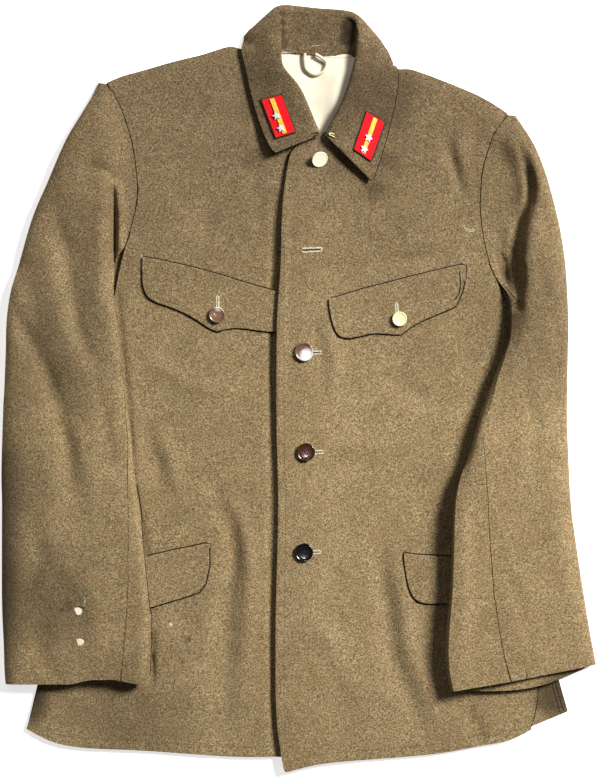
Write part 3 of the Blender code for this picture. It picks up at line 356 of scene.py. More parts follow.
class Shading:
    """Patterns that the finishes share, on the object's own coordinates in one material."""

    def __init__(self, tree: bpy.types.NodeTree, shader: bpy.types.Node) -> None:
        """Opens the patterns of one material.

        Args:
            tree: Its node tree.
            shader: Its Principled shader.
        """
        self.tree = tree
        self.shader = shader
        self.place = add_node(tree, "ShaderNodeTexCoord").outputs["Object"]

    def cloud(self, size_mm: float, detail: float, roughness: float = 0.5,
              place: Socket | None = None) -> Socket:
        """Noise with patches of a size, on moved coordinates if there are any."""
        return add_node(self.tree, "ShaderNodeTexNoise", None, {
            "Vector": place or self.place, "Scale": 1.0 / (size_mm * MM), "Detail": detail,
            "Roughness": roughness}).outputs["Fac"]

    def spread(self, value: Socket, ends: tuple[float, float], low: float = 0.0,
               high: float = 1.0, way: str = "LINEAR") -> Socket:
        """Value spread from a range to another one, LINEAR or SMOOTHSTEP, and held at its ends."""
        return add_node(self.tree, "ShaderNodeMapRange", {"interpolation_type": way}, {
            "Value": value, "From Min": ends[0], "From Max": ends[1], "To Min": low,
            "To Max": high}).outputs["Result"]

    def mix(self, share: Socket, one: Any, colour: str, way: str = "MIX") -> Socket:
        """Colour with a share of a second one, an sRGB hex value, laid on."""
        return add_node(self.tree, "ShaderNodeMix", {"data_type": "RGBA", "blend_type": way}, {
            0: share, 6: one, 7: linear(colour)}).outputs[2]

    def away(self, point: Vector, place: Socket | None = None) -> Socket:
        """Distance from a point, in metres."""
        return add_node(self.tree, "ShaderNodeVectorMath", {"operation": "DISTANCE"}, {
            0: place or self.place, 1: point}).outputs["Value"]

    def bump(self, height: Socket, strength: float, deep_mm: float,
             below: Socket | None = None) -> Socket:
        """Normal of a relief too fine for the mesh, which may lie on another relief."""
        under = {} if below is None else {"Normal": below}
        return add_node(self.tree, "ShaderNodeBump", None, {
            "Height": height, "Strength": strength, "Distance": deep_mm * MM,
            **under}).outputs["Normal"]

    def finish(self, tone: Socket, normal: Socket, **values: Any) -> None:
        """Sets the shader: colour, relief and other inputs by name, with "_" for a space."""
        self.tree.links.new(tone, self.shader.inputs["Base Color"])
        self.tree.links.new(normal, self.shader.inputs["Normal"])
        for key, value in values.items():
            self.shader.inputs[key.replace("_", " ")].default_value = value


@dataclass(frozen=True)
class Finish:
    """Plain finish with one colour, which the others build on."""

    name: str
    colour: str
    roughness: float = 0.6
    metallic: float = 0.0

    def start(self) -> tuple[bpy.types.Material, bpy.types.NodeTree, bpy.types.Node]:
        """Makes the material with its Principled shader.

        Returns:
            The material, its node tree and the shader.
        """
        material = bpy.data.materials.new(self.name)
        material.use_nodes = True
        material.diffuse_color = linear(self.colour)
        shader = material.node_tree.nodes["Principled BSDF"]
        shader.inputs["Base Color"].default_value = linear(self.colour)
        shader.inputs["Roughness"].default_value = self.roughness
        shader.inputs["Metallic"].default_value = self.metallic
        return material, material.node_tree, shader

    def make(self) -> bpy.types.Material:
        """Material of this finish."""
        return self.start()[0]


@dataclass(frozen=True)
class MilledWool(Finish):
    """Milled woollen cloth spun from dyed fibres of several colours.

    Milling hides the weave under short felted fibre, so the cloth is dull, with a soft sheen at
    grazing angles. Its colour is a fine mixture of khaki, brown, ochre and grey-green, in tufts of
    about 1.5 mm: the fibres themselves are far too fine to show, so they are drawn as those tufts.
    """

    tufts: tuple[tuple[float, float, float, float, float, str, str], ...] = ()
    tuft_mm: float = 1.5
    nap_mm: float = 8.0
    top_shade: float = 0.85

    def make(self) -> bpy.types.Material:
        """Material of this finish."""
        material, tree, shader = self.start()
        paint = Shading(tree, shader)
        tone: Any = linear(self.colour)
        for turn, (size_mm, detail, low, high, most, colour, way) in enumerate(self.tufts):
            moved = add_node(tree, "ShaderNodeMapping", None, {
                "Vector": paint.place, "Location": (0.37 * turn, 0.73 * turn, 0.11 * turn)})
            tufts = paint.cloud(size_mm, detail, 0.6, moved.outputs["Vector"])
            share = paint.spread(tufts, (low, high), 0.0, most, "SMOOTHSTEP")
            tone = paint.mix(share, tone, colour, way)
        # Soiled places and painted shade: the colour darkens round each point.
        for stain_or_shade in STAINS_AND_PAINTED_SHADE:
            shrink = Vector((1.0, 1.0 / stain_or_shade.longer, 1.0))
            squeezed = add_node(tree, "ShaderNodeVectorMath", {"operation": "MULTIPLY"}, {
                0: paint.place, 1: shrink}).outputs["Vector"]
            off = paint.away(spot(stain_or_shade.across, stain_or_shade.down, stain_or_shade.high) * shrink, squeezed)
            share = paint.spread(off, (stain_or_shade.near_mm * MM, stain_or_shade.far_mm * MM), stain_or_shade.most, 0.0,
                                 "SMOOTHSTEP")
            tone = paint.mix(share, tone, SOIL_AND_SHADE_COLOUR)
        # Painted shade: the cloth grows darker from below the waist up to the shoulders.
        up_tunic = add_node(tree, "ShaderNodeSeparateXYZ", None, {"Vector": paint.place})
        top_shade = paint.spread(up_tunic.outputs["Y"], (TOP_SHADE_FROM_M, TOP_SHADE_TO_M), 0.0, self.top_shade,
                            "SMOOTHSTEP")
        tone = paint.mix(top_shade, tone, TOP_SHADE_COLOUR, "MULTIPLY")
        fuzz = paint.bump(paint.cloud(self.tuft_mm, 2.0), 0.6, 0.5)
        felt = paint.bump(paint.cloud(self.nap_mm, 2.0), 0.4, 0.9, fuzz)
        paint.finish(tone, felt, Specular_IOR_Level=0.2, Sheen_Weight=0.15,
                     Sheen_Roughness=0.45, Sheen_Tint=linear("C9B48C"))
        return material


@dataclass(frozen=True)
class WovenCloth(Finish):
    """Plain woven cloth whose threads run along and across, such as a cotton lining or a braid."""

    shade: str = "E2D6BE"
    thread_mm: float = 0.9
    depth_mm: float = 0.12
    turn: float = 0.0
    cloud_mm: float = 30.0

    def make(self) -> bpy.types.Material:
        """Material of this finish."""
        material, tree, shader = self.start()
        paint = Shading(tree, shader)
        turned = add_node(tree, "ShaderNodeMapping", None, {
            "Vector": paint.place, "Rotation": (0.0, 0.0, self.turn)}).outputs["Vector"]
        # A wave texture of scale 0.314 repeats once in each unit of length.
        waves = [add_node(tree, "ShaderNodeTexWave", {"bands_direction": way}, {
            "Vector": turned, "Scale": 0.314 / (self.thread_mm * MM), "Distortion": 0.6,
            "Detail": 1.0}).outputs["Fac"] for way in ("X", "Y")]
        woven = add_node(tree, "ShaderNodeMath", {"operation": "MULTIPLY"},
                         {0: waves[0], 1: waves[1]}).outputs[0]
        patch = paint.spread(paint.cloud(self.cloud_mm, 3.0), (0.35, 0.65))
        paint.finish(paint.mix(patch, linear(self.colour), self.shade),
                     paint.bump(woven, 0.6, self.depth_mm), Specular_IOR_Level=0.25)
        return material


@dataclass(frozen=True)
class WornMetal(Finish):
    """Pressed metal with an old patina, thinner where it is handled; some have a painted highlight
    towards one side.
    """

    patina: str = "2B1C10"
    patina_share: float = 0.4
    patch_mm: float = 5.0
    coat: float = 0.0
    highlight_colour: str = "FFFFFF"
    highlight_at: tuple[float, float, float, float] | None = None

    def make(self) -> bpy.types.Material:
        """Material of this finish."""
        material, tree, shader = self.start()
        paint = Shading(tree, shader)
        cloud = paint.cloud(self.patch_mm, 4.0, 0.6)
        worn = paint.spread(cloud, (0.40, 0.66), 0.0, self.patina_share)
        tone = paint.mix(worn, linear(self.colour), self.patina)
        # Painted highlight: round a given point the colour goes over to a bright one.
        if self.highlight_at is not None:
            *place, reach_mm = self.highlight_at
            highlight_share = paint.spread(paint.away(spot(*place)), (0.3 * reach_mm * MM, reach_mm * MM),
                                  1.0, 0.0, "SMOOTHSTEP")
            tone = paint.mix(highlight_share, tone, self.highlight_colour)
        rough = paint.spread(cloud, (0.3, 0.7), 0.7 * self.roughness,
                             min(1.0, 1.4 * self.roughness))
        tree.links.new(rough, shader.inputs["Roughness"])
        paint.finish(tone, paint.bump(cloud, 0.03, 0.02), Coat_Weight=self.coat,
                     Coat_Roughness=0.12)
        return material


@dataclass(frozen=True)
class SewingThread(Finish):
    """Twisted cotton thread: its plies show as fine light and dark specks."""

    shade: str = "5A4B35"

    def make(self) -> bpy.types.Material:
        """Material of this finish."""
        material, tree, shader = self.start()
        paint = Shading(tree, shader)
        plies = add_node(tree, "ShaderNodeTexNoise", None, {
            "Vector": paint.place, "Scale": 900.0, "Detail": 1.0}).outputs["Fac"]
        tone = paint.mix(paint.spread(plies, (0.35, 0.65)), linear(self.shade), self.colour)
        paint.finish(tone, paint.bump(plies, 0.5, 0.1))
        return material


Cloths = dict[str, bpy.types.Material]

# Every finish of the tunic, by the record slot that it dresses or by its own name.
FINISHES = {
    # Milled wool serge: matt, napped, heathered khaki.
    "wool": MilledWool("milled_khaki_wool", "94805C", 0.95, tufts=WOOL_TUFTS),
    # The same wool on and inside the collar: soiled darker.
    "wool_dark": MilledWool("soiled_khaki_wool", "897655", 0.95, tufts=SOILED_TUFTS),
    # Bleached cotton twill, gone cream: even and soft, with a faint weave.
    "lining": WovenCloth("cream_cotton_twill", "EFE5CC", 0.85, turn=0.6),
    # Cotton tape: narrow plain weave, a little greyer than the lining.
    "tape": WovenCloth("cotton_tape", "DDD5C0", 0.85, shade="B9AF98", thread_mm=0.7),
    # Dense red wool felt: saturated and matt.
    "red_cloth": WovenCloth("red_wool_felt", "F5121E", 0.9, shade="E00C18", thread_mm=0.8,
                            depth_mm=0.2, cloud_mm=6.0),
    # Yellow worsted braid: fine ribs across.
    "yellow_braid": WovenCloth("yellow_worsted_braid", "FFD257", 0.7, shade="F0A93A",
                               thread_mm=0.9, depth_mm=0.25, cloud_mm=4.0),
    # Stamped white metal: bright, slightly dull.
    "silver": WornMetal("stamped_white_metal", "F2F8FA", 0.35, 0.3, patina="8E979A",
                        patina_share=0.4, patch_mm=2.0),
    # Gilt brass worn pale: creamy and half dull.
    "ivory_brass": WornMetal("pale_gilt_brass", "FFF8DC", 0.45, 0.1, patina="F0DFA8",
                             patina_share=0.3),
    # Brown lacquer on brass: glossy, with a white painted highlight on one side.
    "bronze": WornMetal("brown_lacquered_brass", "7A5644", 0.28, 0.25, patina="4A2F22",
                        patina_share=0.5, coat=0.4, highlight_colour="FFFFFF",
                        highlight_at=(308.0, 357.0, 14.6, 11.0)),
    # Bronze of a pocket button: brown, with a warm painted highlight on one side.
    "pocket_bronze": WornMetal("rubbed_bronze", "7E5E44", 0.3, 0.3, patina="5A3E2C",
                               patina_share=0.4, coat=0.4, highlight_colour="FFF4E0",
                               highlight_at=(219.0, 306.0, 12.0, 7.0)),
    # Darker lacquer, whole: deep reddish brown and glossy.
    "dark_bronze": WornMetal("dark_lacquered_brass", "4A2814", 0.2, 0.2, patina="241208",
                             patina_share=0.6, coat=0.7),
    # Japanned brass: black and glossy.
    "black_enamel": WornMetal("black_japanned_brass", "0E0B0A", 0.18, 0.0, patina="050505",
                              patina_share=0.5, coat=0.8),
    # Bare polished brass: pale yellow.
    "brass": WornMetal("polished_brass", "FFF6BC", 0.36, 0.15, patina="E8CF7C",
                       patina_share=0.3),
    # Threads: khaki for the seams, pale for the buttonholes, dark for the tabs, rust at the neck.
    "khaki_thread": SewingThread("khaki_cotton_thread", "665536", 0.85, shade="463A26"),
    "pale_thread": SewingThread("undyed_cotton_thread", "E9E2CC", 0.75, shade="BEB394"),
    "dark_thread": SewingThread("dark_cotton_thread", "33281F", 0.85, shade="1C1512"),
    "rust_thread": SewingThread("rust_cotton_thread", "9A5A44", 0.8, shade="6E3B2C"),
    # Shadow in a slit or a narrow gap: nearly black and fully dull.
    "slit": Finish("shaded_slit", "15110D", 1.0),
}


@dataclass(frozen=True)
class Crease:
    """Soft crease along a line: rows of across, down, half width and rise, in millimetres."""

    rows: tuple[Row, ...]

    def lift(self, across: np.ndarray, down: np.ndarray) -> np.ndarray:
        """Rise of the crease at many places.

        Args:
            across: Places to the right, in millimetres.
            down: Places towards the hem, in millimetres.

        Returns:
            The rise at each place, in millimetres.
        """
        made = np.zeros_like(across)
        for (x0, y0, half0, rise0), (x1, y1, half1, rise1) in zip(self.rows, self.rows[1:]):
            run_x, run_y = x1 - x0, y1 - y0
            share = ((across - x0) * run_x + (down - y0) * run_y) / (run_x ** 2 + run_y ** 2)
            share = np.clip(share, 0.0, 1.0)
            off = (across - x0 - share * run_x) ** 2 + (down - y0 - share * run_y) ** 2
            half = half0 + (half1 - half0) * share
            here = (rise0 + (rise1 - rise0) * share) * np.exp(-off / half ** 2)
            made = np.where(np.abs(here) > np.abs(made), here, made)
        return made


@dataclass(frozen=True)
class Nudge:
    """Soft shift of the cloth round one place, in millimetres."""

    across: float
    down: float
    half_across: float
    half_down: float
    by: tuple[float, float, float]

    def move(self, across: np.ndarray, down: np.ndarray) -> np.ndarray:
        """Share of the shift, from 0 to 1, at many places across and down."""
        away = np.hypot((across - self.across) / self.half_across,
                        (down - self.down) / self.half_down)
        return smooth_share(np.clip(1.5 - away, 0.0, 1.0))


class Layer(Enum):
    """Which part of a piece its creases move."""

    WHOLE = "whole"
    UPPER = "upper"


@dataclass
class ClothPiece:
    """Thin shell of one cut piece, made on its solid: smoother, creased and finely wavy."""

    node: str
    slot: str
    flat: tuple[float, float]
    area: float
    rests_on: str
    levels: int = 3
    layer: Layer = Layer.WHOLE
    creases: tuple[Crease, ...] = ()
    held: str = "laid"
    wave_mm: float = 0.35
    hold: float = 1.0
    turned_edges: tuple[float, float] = (0.0, 0.0)
    nudges: tuple[Nudge, ...] = ()
    draws: tuple[Row, ...] = ()
    # Upper layer: it starts this high at the armhole and at the elbow, over this much height.
    layer_high: tuple[float, float] = (4.5, 14.0)
    layer_down: tuple[float, float] = (330.0, 430.0)
    layer_deep: float = 4.0
    # Angles in degrees: two triangles that make one quad, and the sharpest bend shaded smooth.
    quad_angle: float = 60.0
    smooth_angle: float = 50.0
    turned_hold: float = 0.5

    def build(self, nodes: dict[str, bpy.types.Object],
              material: bpy.types.Material) -> bpy.types.Object:
        """Args:
            nodes: Solids of the frame by name.
            material: Finish of the cloth.

        Returns:
            The finished piece.
        """
        piece = Bench.copy_solid("cloth_" + self.node, nodes[self.node], self.quad_angle)
        self.harden_rim(piece)
        Bench.done()
        Bench.apply(piece, "SUBSURF", levels=self.levels, render_levels=self.levels)
        self.shape(piece)
        Bench.dress(piece, material, self.slot, self.smooth_angle)
        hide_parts(self.node)
        return piece

    def harden_rim(self, piece: bpy.types.Object) -> None:
        """Holds the cut edges while the faces between them are smoothed; turned edges less."""
        left, right = (spot(across, 0.0).x for across in self.turned_edges)
        for soft, value in ((False, self.hold), (True, self.turned_hold)):
            Bench.pick(piece, lambda edge: folded(edge, RIM_ANGLE) and soft == (
                left < 0.5 * (edge.verts[0].co.x + edge.verts[1].co.x) < right), "EDGE")
            bpy.ops.transform.edge_crease(value=value)

    def drawn(self, across: np.ndarray, down: np.ndarray) -> np.ndarray:
        """Sideways shift that lays each drawn line on its own place.

        Args:
            across: Places to the right, in millimetres.
            down: Places towards the hem, in millimetres.

        Returns:
            The shift at each place, in millimetres.
        """
        fade_mm = 30.0
        table = np.array(self.draws, dtype=float)
        knots = [np.interp(down, table[:, 0], column) for column in table[:, 1:].T]
        fade = np.clip((down - table[0, 0] + fade_mm) / fade_mm, 0.0, 1.0)
        shift = knots[1] - knots[0] + np.zeros_like(across)
        for start, end in ((0, 2), (2, 4)):
            share = np.clip((across - knots[start]) / (knots[end] - knots[start]), 0.0, 1.0)
            shift += share * ((knots[end + 1] - knots[end]) - (knots[start + 1] - knots[start]))
        return shift * fade

    def shape(self, piece: bpy.types.Object) -> None:
        """Moves the cloth by its nudges and creases and by a fine uneven wave."""
        mesh = piece.data
        co = np.empty(len(mesh.vertices) * 3)
        mesh.vertices.foreach_get("co", co)
        co = co.reshape(-1, 3)
        across = co[:, 0] / MM + ACROSS_MID
        down = DOWN_MID - co[:, 1] / MM
        high = co[:, 2] / MM
        lift = np.zeros(len(co))
        if self.draws:
            across += self.drawn(across, down)
            co[:, 0] = (across - ACROSS_MID) * MM
        for nudge in self.nudges:
            share = nudge.move(across, down)
            co[:, :2] += share[:, None] * np.array(nudge.by[:2]) * MM
            lift += share * nudge.by[2]
        for crease in self.creases:
            lift += crease.lift(across, down)
        lift += self.wave_mm * np.array([
            sum(share * noise.noise(Vector((x * often_x, y * often_y, start)))
                for often_x, often_y, start, share in WAVES) for x, y, _ in co])
        if self.layer is Layer.UPPER:
            floor = np.interp(down, self.layer_down, self.layer_high)
            lift *= smooth_share(np.clip((high - floor) / self.layer_deep, 0.0, 1.0))
        co[:, 2] += lift * MM
        mesh.vertices.foreach_set("co", co.reshape(-1))
        mesh.update()


class Surface:
    """Dressed cloth as one ray target, used to lay sewing and buttons on it."""

    def __init__(self, pieces: Iterable[bpy.types.Object]) -> None:
        """Reads the pieces' meshes.

        Args:
            pieces: Dressed cloth pieces, untransformed.
        """
        self.trees = []
        for piece in pieces:
            bm = bmesh.new()
            bm.from_mesh(piece.data)
            self.trees.append(BVHTree.FromBMesh(bm))
            bm.free()

    def at(self, across: float, down: float) -> tuple[Vector, Vector]:
        """Topmost point of the cloth and its normal.

        Args:
            across: Place to the right, in millimetres.
            down: Place towards the hem, in millimetres.

        Returns:
            The point in metres and the face's unit normal.
        """
        best, normal = spot(across, down), UP
        for tree in self.trees:
            hit, face_normal, _, _ = tree.ray_cast(spot(across, down, LOOK_FROM_MM), -UP)
            if hit is not None and hit.z > best.z:
                best, normal = hit, face_normal
        return best, normal


class Stitches:
    """Small shapes modelled once and repeated along lines on the cloth, as one joined mesh."""

    def __init__(self, surface: Surface) -> None:
        """Opens the sewing box.

        Args:
            surface: Cloth that the sewing lies on.
        """
        self.surface = surface
        self.patterns: dict[str, bpy.types.Mesh] = {}

    def pattern(self, name: str) -> bpy.types.Mesh:
        """Shape of unit size that is repeated.

        Args:
            name: "stitch", a rounded grain of thread, or "fibre", a tapered tuft.

        Returns:
            Its mesh, 1 long, 1 wide and 1 high.
        """
        if name in self.patterns:
            return self.patterns[name]
        lying = (0.0, math.radians(90.0), 0.0)
        bpy.ops.object.select_all(action="DESELECT")
        if name == "stitch":
            bpy.ops.mesh.primitive_uv_sphere_add(segments=6, ring_count=4, radius=0.5,
                                                 rotation=lying)
        else:
            bpy.ops.mesh.primitive_cone_add(vertices=5, radius1=0.5, radius2=0.08, depth=1.0,
                                            rotation=lying)
        shape = Bench.new("pattern_" + name)
        Bench.settle(shape)
        if name == "stitch":
            # The ends are made blunter, as thread that dips into the cloth.
            Bench.edit(shape)
            Bench.pick(shape, lambda vert: abs(vert.co.x) > 0.3, "VERT")
            bpy.ops.transform.resize(value=(1.0, 1.35, 1.35), center_override=(0.0, 0.0, 0.0))
            Bench.done()
        self.patterns[name] = shape.data.copy()
        bpy.data.objects.remove(shape)
        return self.patterns[name]

    def repeat(self, name: str, kind: str, places: Sequence[Matrix],
               material: bpy.types.Material, slot: str) -> bpy.types.Object:
        """Joins copies of one shape into one piece.

        Args:
            name: Name of the piece.
            kind: Shape that is repeated.
            places: Placing of each copy.
            material: Finish.
            slot: Slot of the record.

        Returns:
            The piece.
        """
        pattern = self.pattern(kind)
        base = np.empty(len(pattern.vertices) * 3)
        pattern.vertices.foreach_get("co", base)
        base = np.c_[base.reshape(-1, 3), np.ones(len(pattern.vertices))]
        verts, faces = [], []
        for turn, place in enumerate(places):
            verts.append((base @ np.array(place).T)[:, :3])
            start = turn * len(base)
            faces += [tuple(start + corner for corner in face.vertices)
                      for face in pattern.polygons]
        piece = Bench.mesh(name, np.concatenate(verts).tolist(), faces)
        Bench.dress(piece, material, slot, 60.0)
        return piece

    def along(self, line: Line, pitch: float, size: Row, turn: float = 0.0, lift: float = 0.1,
              jitter: float = 0.0, seed: int = 1) -> list[Matrix]:
        """Places of the copies along a line on the cloth.

        Args:
            line: Corners of the line, across and down.
            pitch: Distance from one copy to the next, in millimetres.
            size: Length, width and height of a copy, in millimetres.
            turn: Turn of each copy from the line's own way, in degrees.
            lift: Height of its middle above the cloth, in millimetres.
            jitter: Uneven share of the turn and length.
            seed: Seed of that unevenness.

        Returns:
            One matrix for each copy.
        """
        rng = np.random.default_rng(seed)
        points, reach = stations(line)
        count = max(1, int(reach[-1] / pitch))
        places = []
        for at in (np.arange(count) + 0.5) * reach[-1] / count:
            (across, down), (ahead, ahead_down), (behind, behind_down) = (
                [np.interp(here, reach, column) for column in points.T]
                for here in (at, min(at + 1.0, reach[-1]), max(at - 1.0, 0.0)))
            way = Vector((ahead - behind, behind_down - ahead_down, 0.0)).normalized()
            hit, normal = self.surface.at(across, down)
            if normal.z < FLAT_ENOUGH:
                normal = UP
            spin = math.radians(turn + jitter * 30.0 * rng.standard_normal())
            way = Matrix.Rotation(spin, 3, "Z") @ way
            side = normal.cross(way).normalized()
            way = side.cross(normal).normalized()
            long = size[0] * (1.0 + jitter * rng.standard_normal())
            places.append(placing(way, side, normal, (long, *size[1:]),
                                  hit + normal * lift * MM))
        return places


@dataclass
class SeamSewing:
    """One seam's visible sewing, or a line of painted shade laid in the same way: the lines it runs
    on and its stitch.
    """

    name: str
    lines: tuple[Line, ...]
    pitch: float = 3.2
    stitch: Row = (2.5, 0.55, 0.45)
    turn: float = 0.0
    lift: float = 0.02
    jitter: float = 0.05
    slot: str = "wool"

    def build(self, stitches: Stitches, material: bpy.types.Material) -> bpy.types.Object:
        """Sews the seam.

        Args:
            stitches: Sewing box.
            material: Thread.

        Returns:
            The joined stitches.
        """
        places = []
        for seed, line in enumerate(self.lines):
            places += stitches.along(line, self.pitch, self.stitch, self.turn, self.lift,
                                     self.jitter, seed)
        return stitches.repeat(self.name, "stitch", places, material, self.slot)


@dataclass
class SeamAllowance:
    """Turned-in strip of cloth that lies behind a seam and closes it from below.

    Its height is given, and falls to low_mm past low_from, or lies below_mm under the cloth.
    """

    name: str
    line: Line
    half_mm: float
    high_mm: float | None = None
    below_mm: float = 2.6
    low_mm: float = 0.6
    low_from: float = 1000.0
    slot: str = "wool"
    thick_mm: float = 0.6
    step_mm: float = 4.0
    fall_mm: float = 12.0
    beside_mm: float = 3.0
    narrow_end: float = 0.25

    def build(self, surface: Surface, material: bpy.types.Material) -> bpy.types.Object:
        """Lays the strip.

        Args:
            surface: Cloth that it lies under.
            material: Finish.

        Returns:
            The strip.
        """
        points, reach = stations(self.line)
        count = max(8, int(reach[-1] / self.step_mm))
        at = np.linspace(0.0, reach[-1], count)
        middle = np.c_[np.interp(at, reach, points[:, 0]), np.interp(at, reach, points[:, 1])]
        way = np.gradient(middle, axis=0)
        way /= np.hypot(way[:, 0], way[:, 1])[:, None]
        verts = []
        for (across, down), (run_x, run_y), run in zip(middle, way, at):
            half = self.half_mm * min(1.0, self.narrow_end + run / self.fall_mm)
            if self.high_mm is None:
                high = min(surface.at(across - run_y * off, down + run_x * off)[0].z
                           for off in (-self.beside_mm, self.beside_mm)) / MM - self.below_mm
            else:
                fallen = min(1.0, max(0.0, down - self.low_from) / self.fall_mm)
                high = self.high_mm + (self.low_mm - self.high_mm) * fallen
            verts += [spot(across - run_y * side * half, down + run_x * side * half, high)
                      for side in (-1.0, 0.0, 1.0)]
        corners = [3 * row + column for row in range(count - 1) for column in range(2)]
        piece = Bench.mesh(self.name, verts, [(first, first + 1, first + 4, first + 3)
                                              for first in corners])
        Bench.edit(piece)
        bpy.ops.mesh.select_all(action="SELECT")
        bpy.ops.mesh.normals_make_consistent(inside=False)
        Bench.done()
        Bench.apply(piece, "SOLIDIFY", thickness=self.thick_mm * MM, offset=0.0)
        Bench.dress(piece, material, self.slot, 50.0)
        return piece


@dataclass
class Buttonhole:
    """Worked buttonhole: a dark slit between two rows of close thread, with a bar at the end."""

    name: str
    start: tuple[float, float]
    end: tuple[float, float]
    half: float = 1.35
    slit: float = 0.45
    pitch: float = 0.85
    stitch: Row = (1.9, 0.75, 0.8)
    bar_pitch: float = 0.9
    bar_stitch: Row = (2.0, 0.8, 0.9)
    jitter: float = 0.12

    def beside(self, off: float) -> Line:
        """Line beside the slit at a distance in millimetres."""
        run = Vector((self.end[0] - self.start[0], self.end[1] - self.start[1]))
        side = Vector((-run.y, run.x)).normalized() * off
        return tuple((across + side.x, down + side.y) for across, down in (self.start, self.end))

    def build(self, stitches: Stitches, cloths: Cloths) -> None:
        """Works the buttonhole's thread and its slit.

        Args:
            stitches: Sewing box.
            cloths: Finishes.
        """
        rows = [self.beside(off) for off in (-self.half, self.half)]
        places = []
        for row in rows:
            places += stitches.along(row, self.pitch, self.stitch, 90.0, 0.12, self.jitter,
                                     seed=int(self.start[0]))
        bar = tuple(row[1] for row in rows)
        places += stitches.along(bar, self.bar_pitch, self.bar_stitch, 90.0, 0.2, self.jitter)
        stitches.repeat(self.name + "_thread", "stitch", places, cloths["pale_thread"], "lining")
        # The slit: a nearly black strip, painted shade of the opening.
        long = math.dist(self.start, self.end)
        slit = stitches.along((self.start, self.end), long, (long, 2.0 * self.slit, 0.25),
                              lift=0.06)
        stitches.repeat(self.name + "_slit", "stitch", slit, cloths["slit"], "black_enamel")


@dataclass
class Button:
    """Dished button with a rolled rim, on a short shank of thread."""

    node: str
    slot: str
    tilt: float = 0.0
    tilt_way: float = 0.0
    rim: float = 0.08
    finish: str = ""
    dish_mm: float = 0.7
    thick_mm: float = 2.2
    shank_mm: float = 1.2
    shank_inset: float = 0.62
    rounding: float = 0.35
    sides: int = 48

    def build(self, cloths: Cloths) -> None:
        """Turns the button, sets it where its solid stands and dresses it.

        Args:
            cloths: Finishes.
        """
        low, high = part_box(self.node)
        radius = 0.5 * max(high.x - low.x, high.y - low.y)
        thick = self.thick_mm * MM
        bpy.ops.object.select_all(action="DESELECT")
        bpy.ops.mesh.primitive_cylinder_add(vertices=self.sides, radius=radius, depth=thick)
        piece = Bench.new("dressed_" + self.node)
        Bench.edit(piece)
        Bench.pick(piece, lambda face: face.normal.z > 0.9)
        for inset, sink in ((self.rim, 0.0), *DISH_RINGS):
            bpy.ops.mesh.inset(thickness=inset * radius)
            bpy.ops.transform.translate(value=(0.0, 0.0, -sink * self.dish_mm * MM))
        bpy.ops.mesh.poke()
        Bench.pick(piece, lambda face: face.normal.z < -0.9)
        bpy.ops.mesh.inset(thickness=self.shank_inset * radius)
        bpy.ops.mesh.extrude_region_move(
            TRANSFORM_OT_translate={"value": (0.0, 0.0, -self.shank_mm * MM)})
        Bench.pick(piece, lambda edge: folded(edge, BUTTON_RIM_ANGLE)
                   and edge.verts[0].co.xy.length > 0.9 * radius, "EDGE")
        bpy.ops.mesh.bevel(offset=self.rounding * self.thick_mm * MM, segments=5,
                           affect="EDGES")
        Bench.done()
        tilt, way = math.radians(self.tilt), math.radians(self.tilt_way)
        piece.location = Vector((0.5 * (low.x + high.x), 0.5 * (low.y + high.y),
                                 high.z - 0.5 * self.thick_mm * MM
                                 - 0.35 * radius * math.sin(tilt)))
        piece.rotation_mode = "QUATERNION"
        piece.rotation_quaternion = Matrix.Rotation(
            tilt, 3, Vector((math.cos(way), math.sin(way), 0.0))).to_quaternion()
        Bench.settle(piece)
        Bench.dress(piece, cloths[self.finish or self.slot], self.slot, 40.0)
        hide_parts(self.node)


@dataclass
class WornHole:
    """Moth hole or worn spot: ragged fibres round its rim."""

    name: str
    across: float
    down: float
    half: tuple[float, float]
    count: int = 34
    reach: tuple[float, float] = (1.2, 2.8)
    inward: bool = True
    pale: bool = False
    outside_mm: float = 1.6
    uneven: float = 0.10
    swerve: float = 0.5
    slope: float = 0.15
    fibre_high_mm: float = 0.6

    def build(self, stitches: Stitches, cloths: Cloths) -> None:
        """Sets the fibres round the hole.

        Args:
            stitches: Sewing box with the fibre shape.
            cloths: Finishes.
        """
        rng = np.random.default_rng(int(self.across * 10))
        places = []
        for turn in range(self.count):
            angle = 2.0 * math.pi * (turn + 0.6 * rng.random()) / self.count
            out = Vector((math.cos(angle), math.sin(angle), 0.0))
            share = 1.0 + self.uneven * rng.standard_normal()
            x = self.across + self.half[0] * share * out.x
            y = self.down - self.half[1] * share * out.y
            # The height is read on the cloth, a little outside the rim.
            cloth, _ = stitches.surface.at(
                self.across + (self.half[0] + self.outside_mm) * out.x,
                self.down - (self.half[1] + self.outside_mm) * out.y)
            long = rng.uniform(*self.reach)
            way = Matrix.Rotation(self.swerve * rng.standard_normal(), 3, "Z") @ (
                -out if self.inward else out)
            way.z = self.slope * rng.standard_normal()
            way.normalize()
            side = UP.cross(way).normalized()
            wide = rng.uniform(0.5, 1.0 if self.inward else 0.8)
            high = cloth.z / MM - (0.5 if self.inward else -0.2)
            places.append(placing(way, side, way.cross(side),
                                  (long, wide, self.fibre_high_mm), spot(x, y, high)))
        finish, slot = ((cloths["pale_thread"], "lining") if self.pale
                        else (cloths["wool"], "wool"))
        stitches.repeat(self.name, "fibre", places, finish, slot)


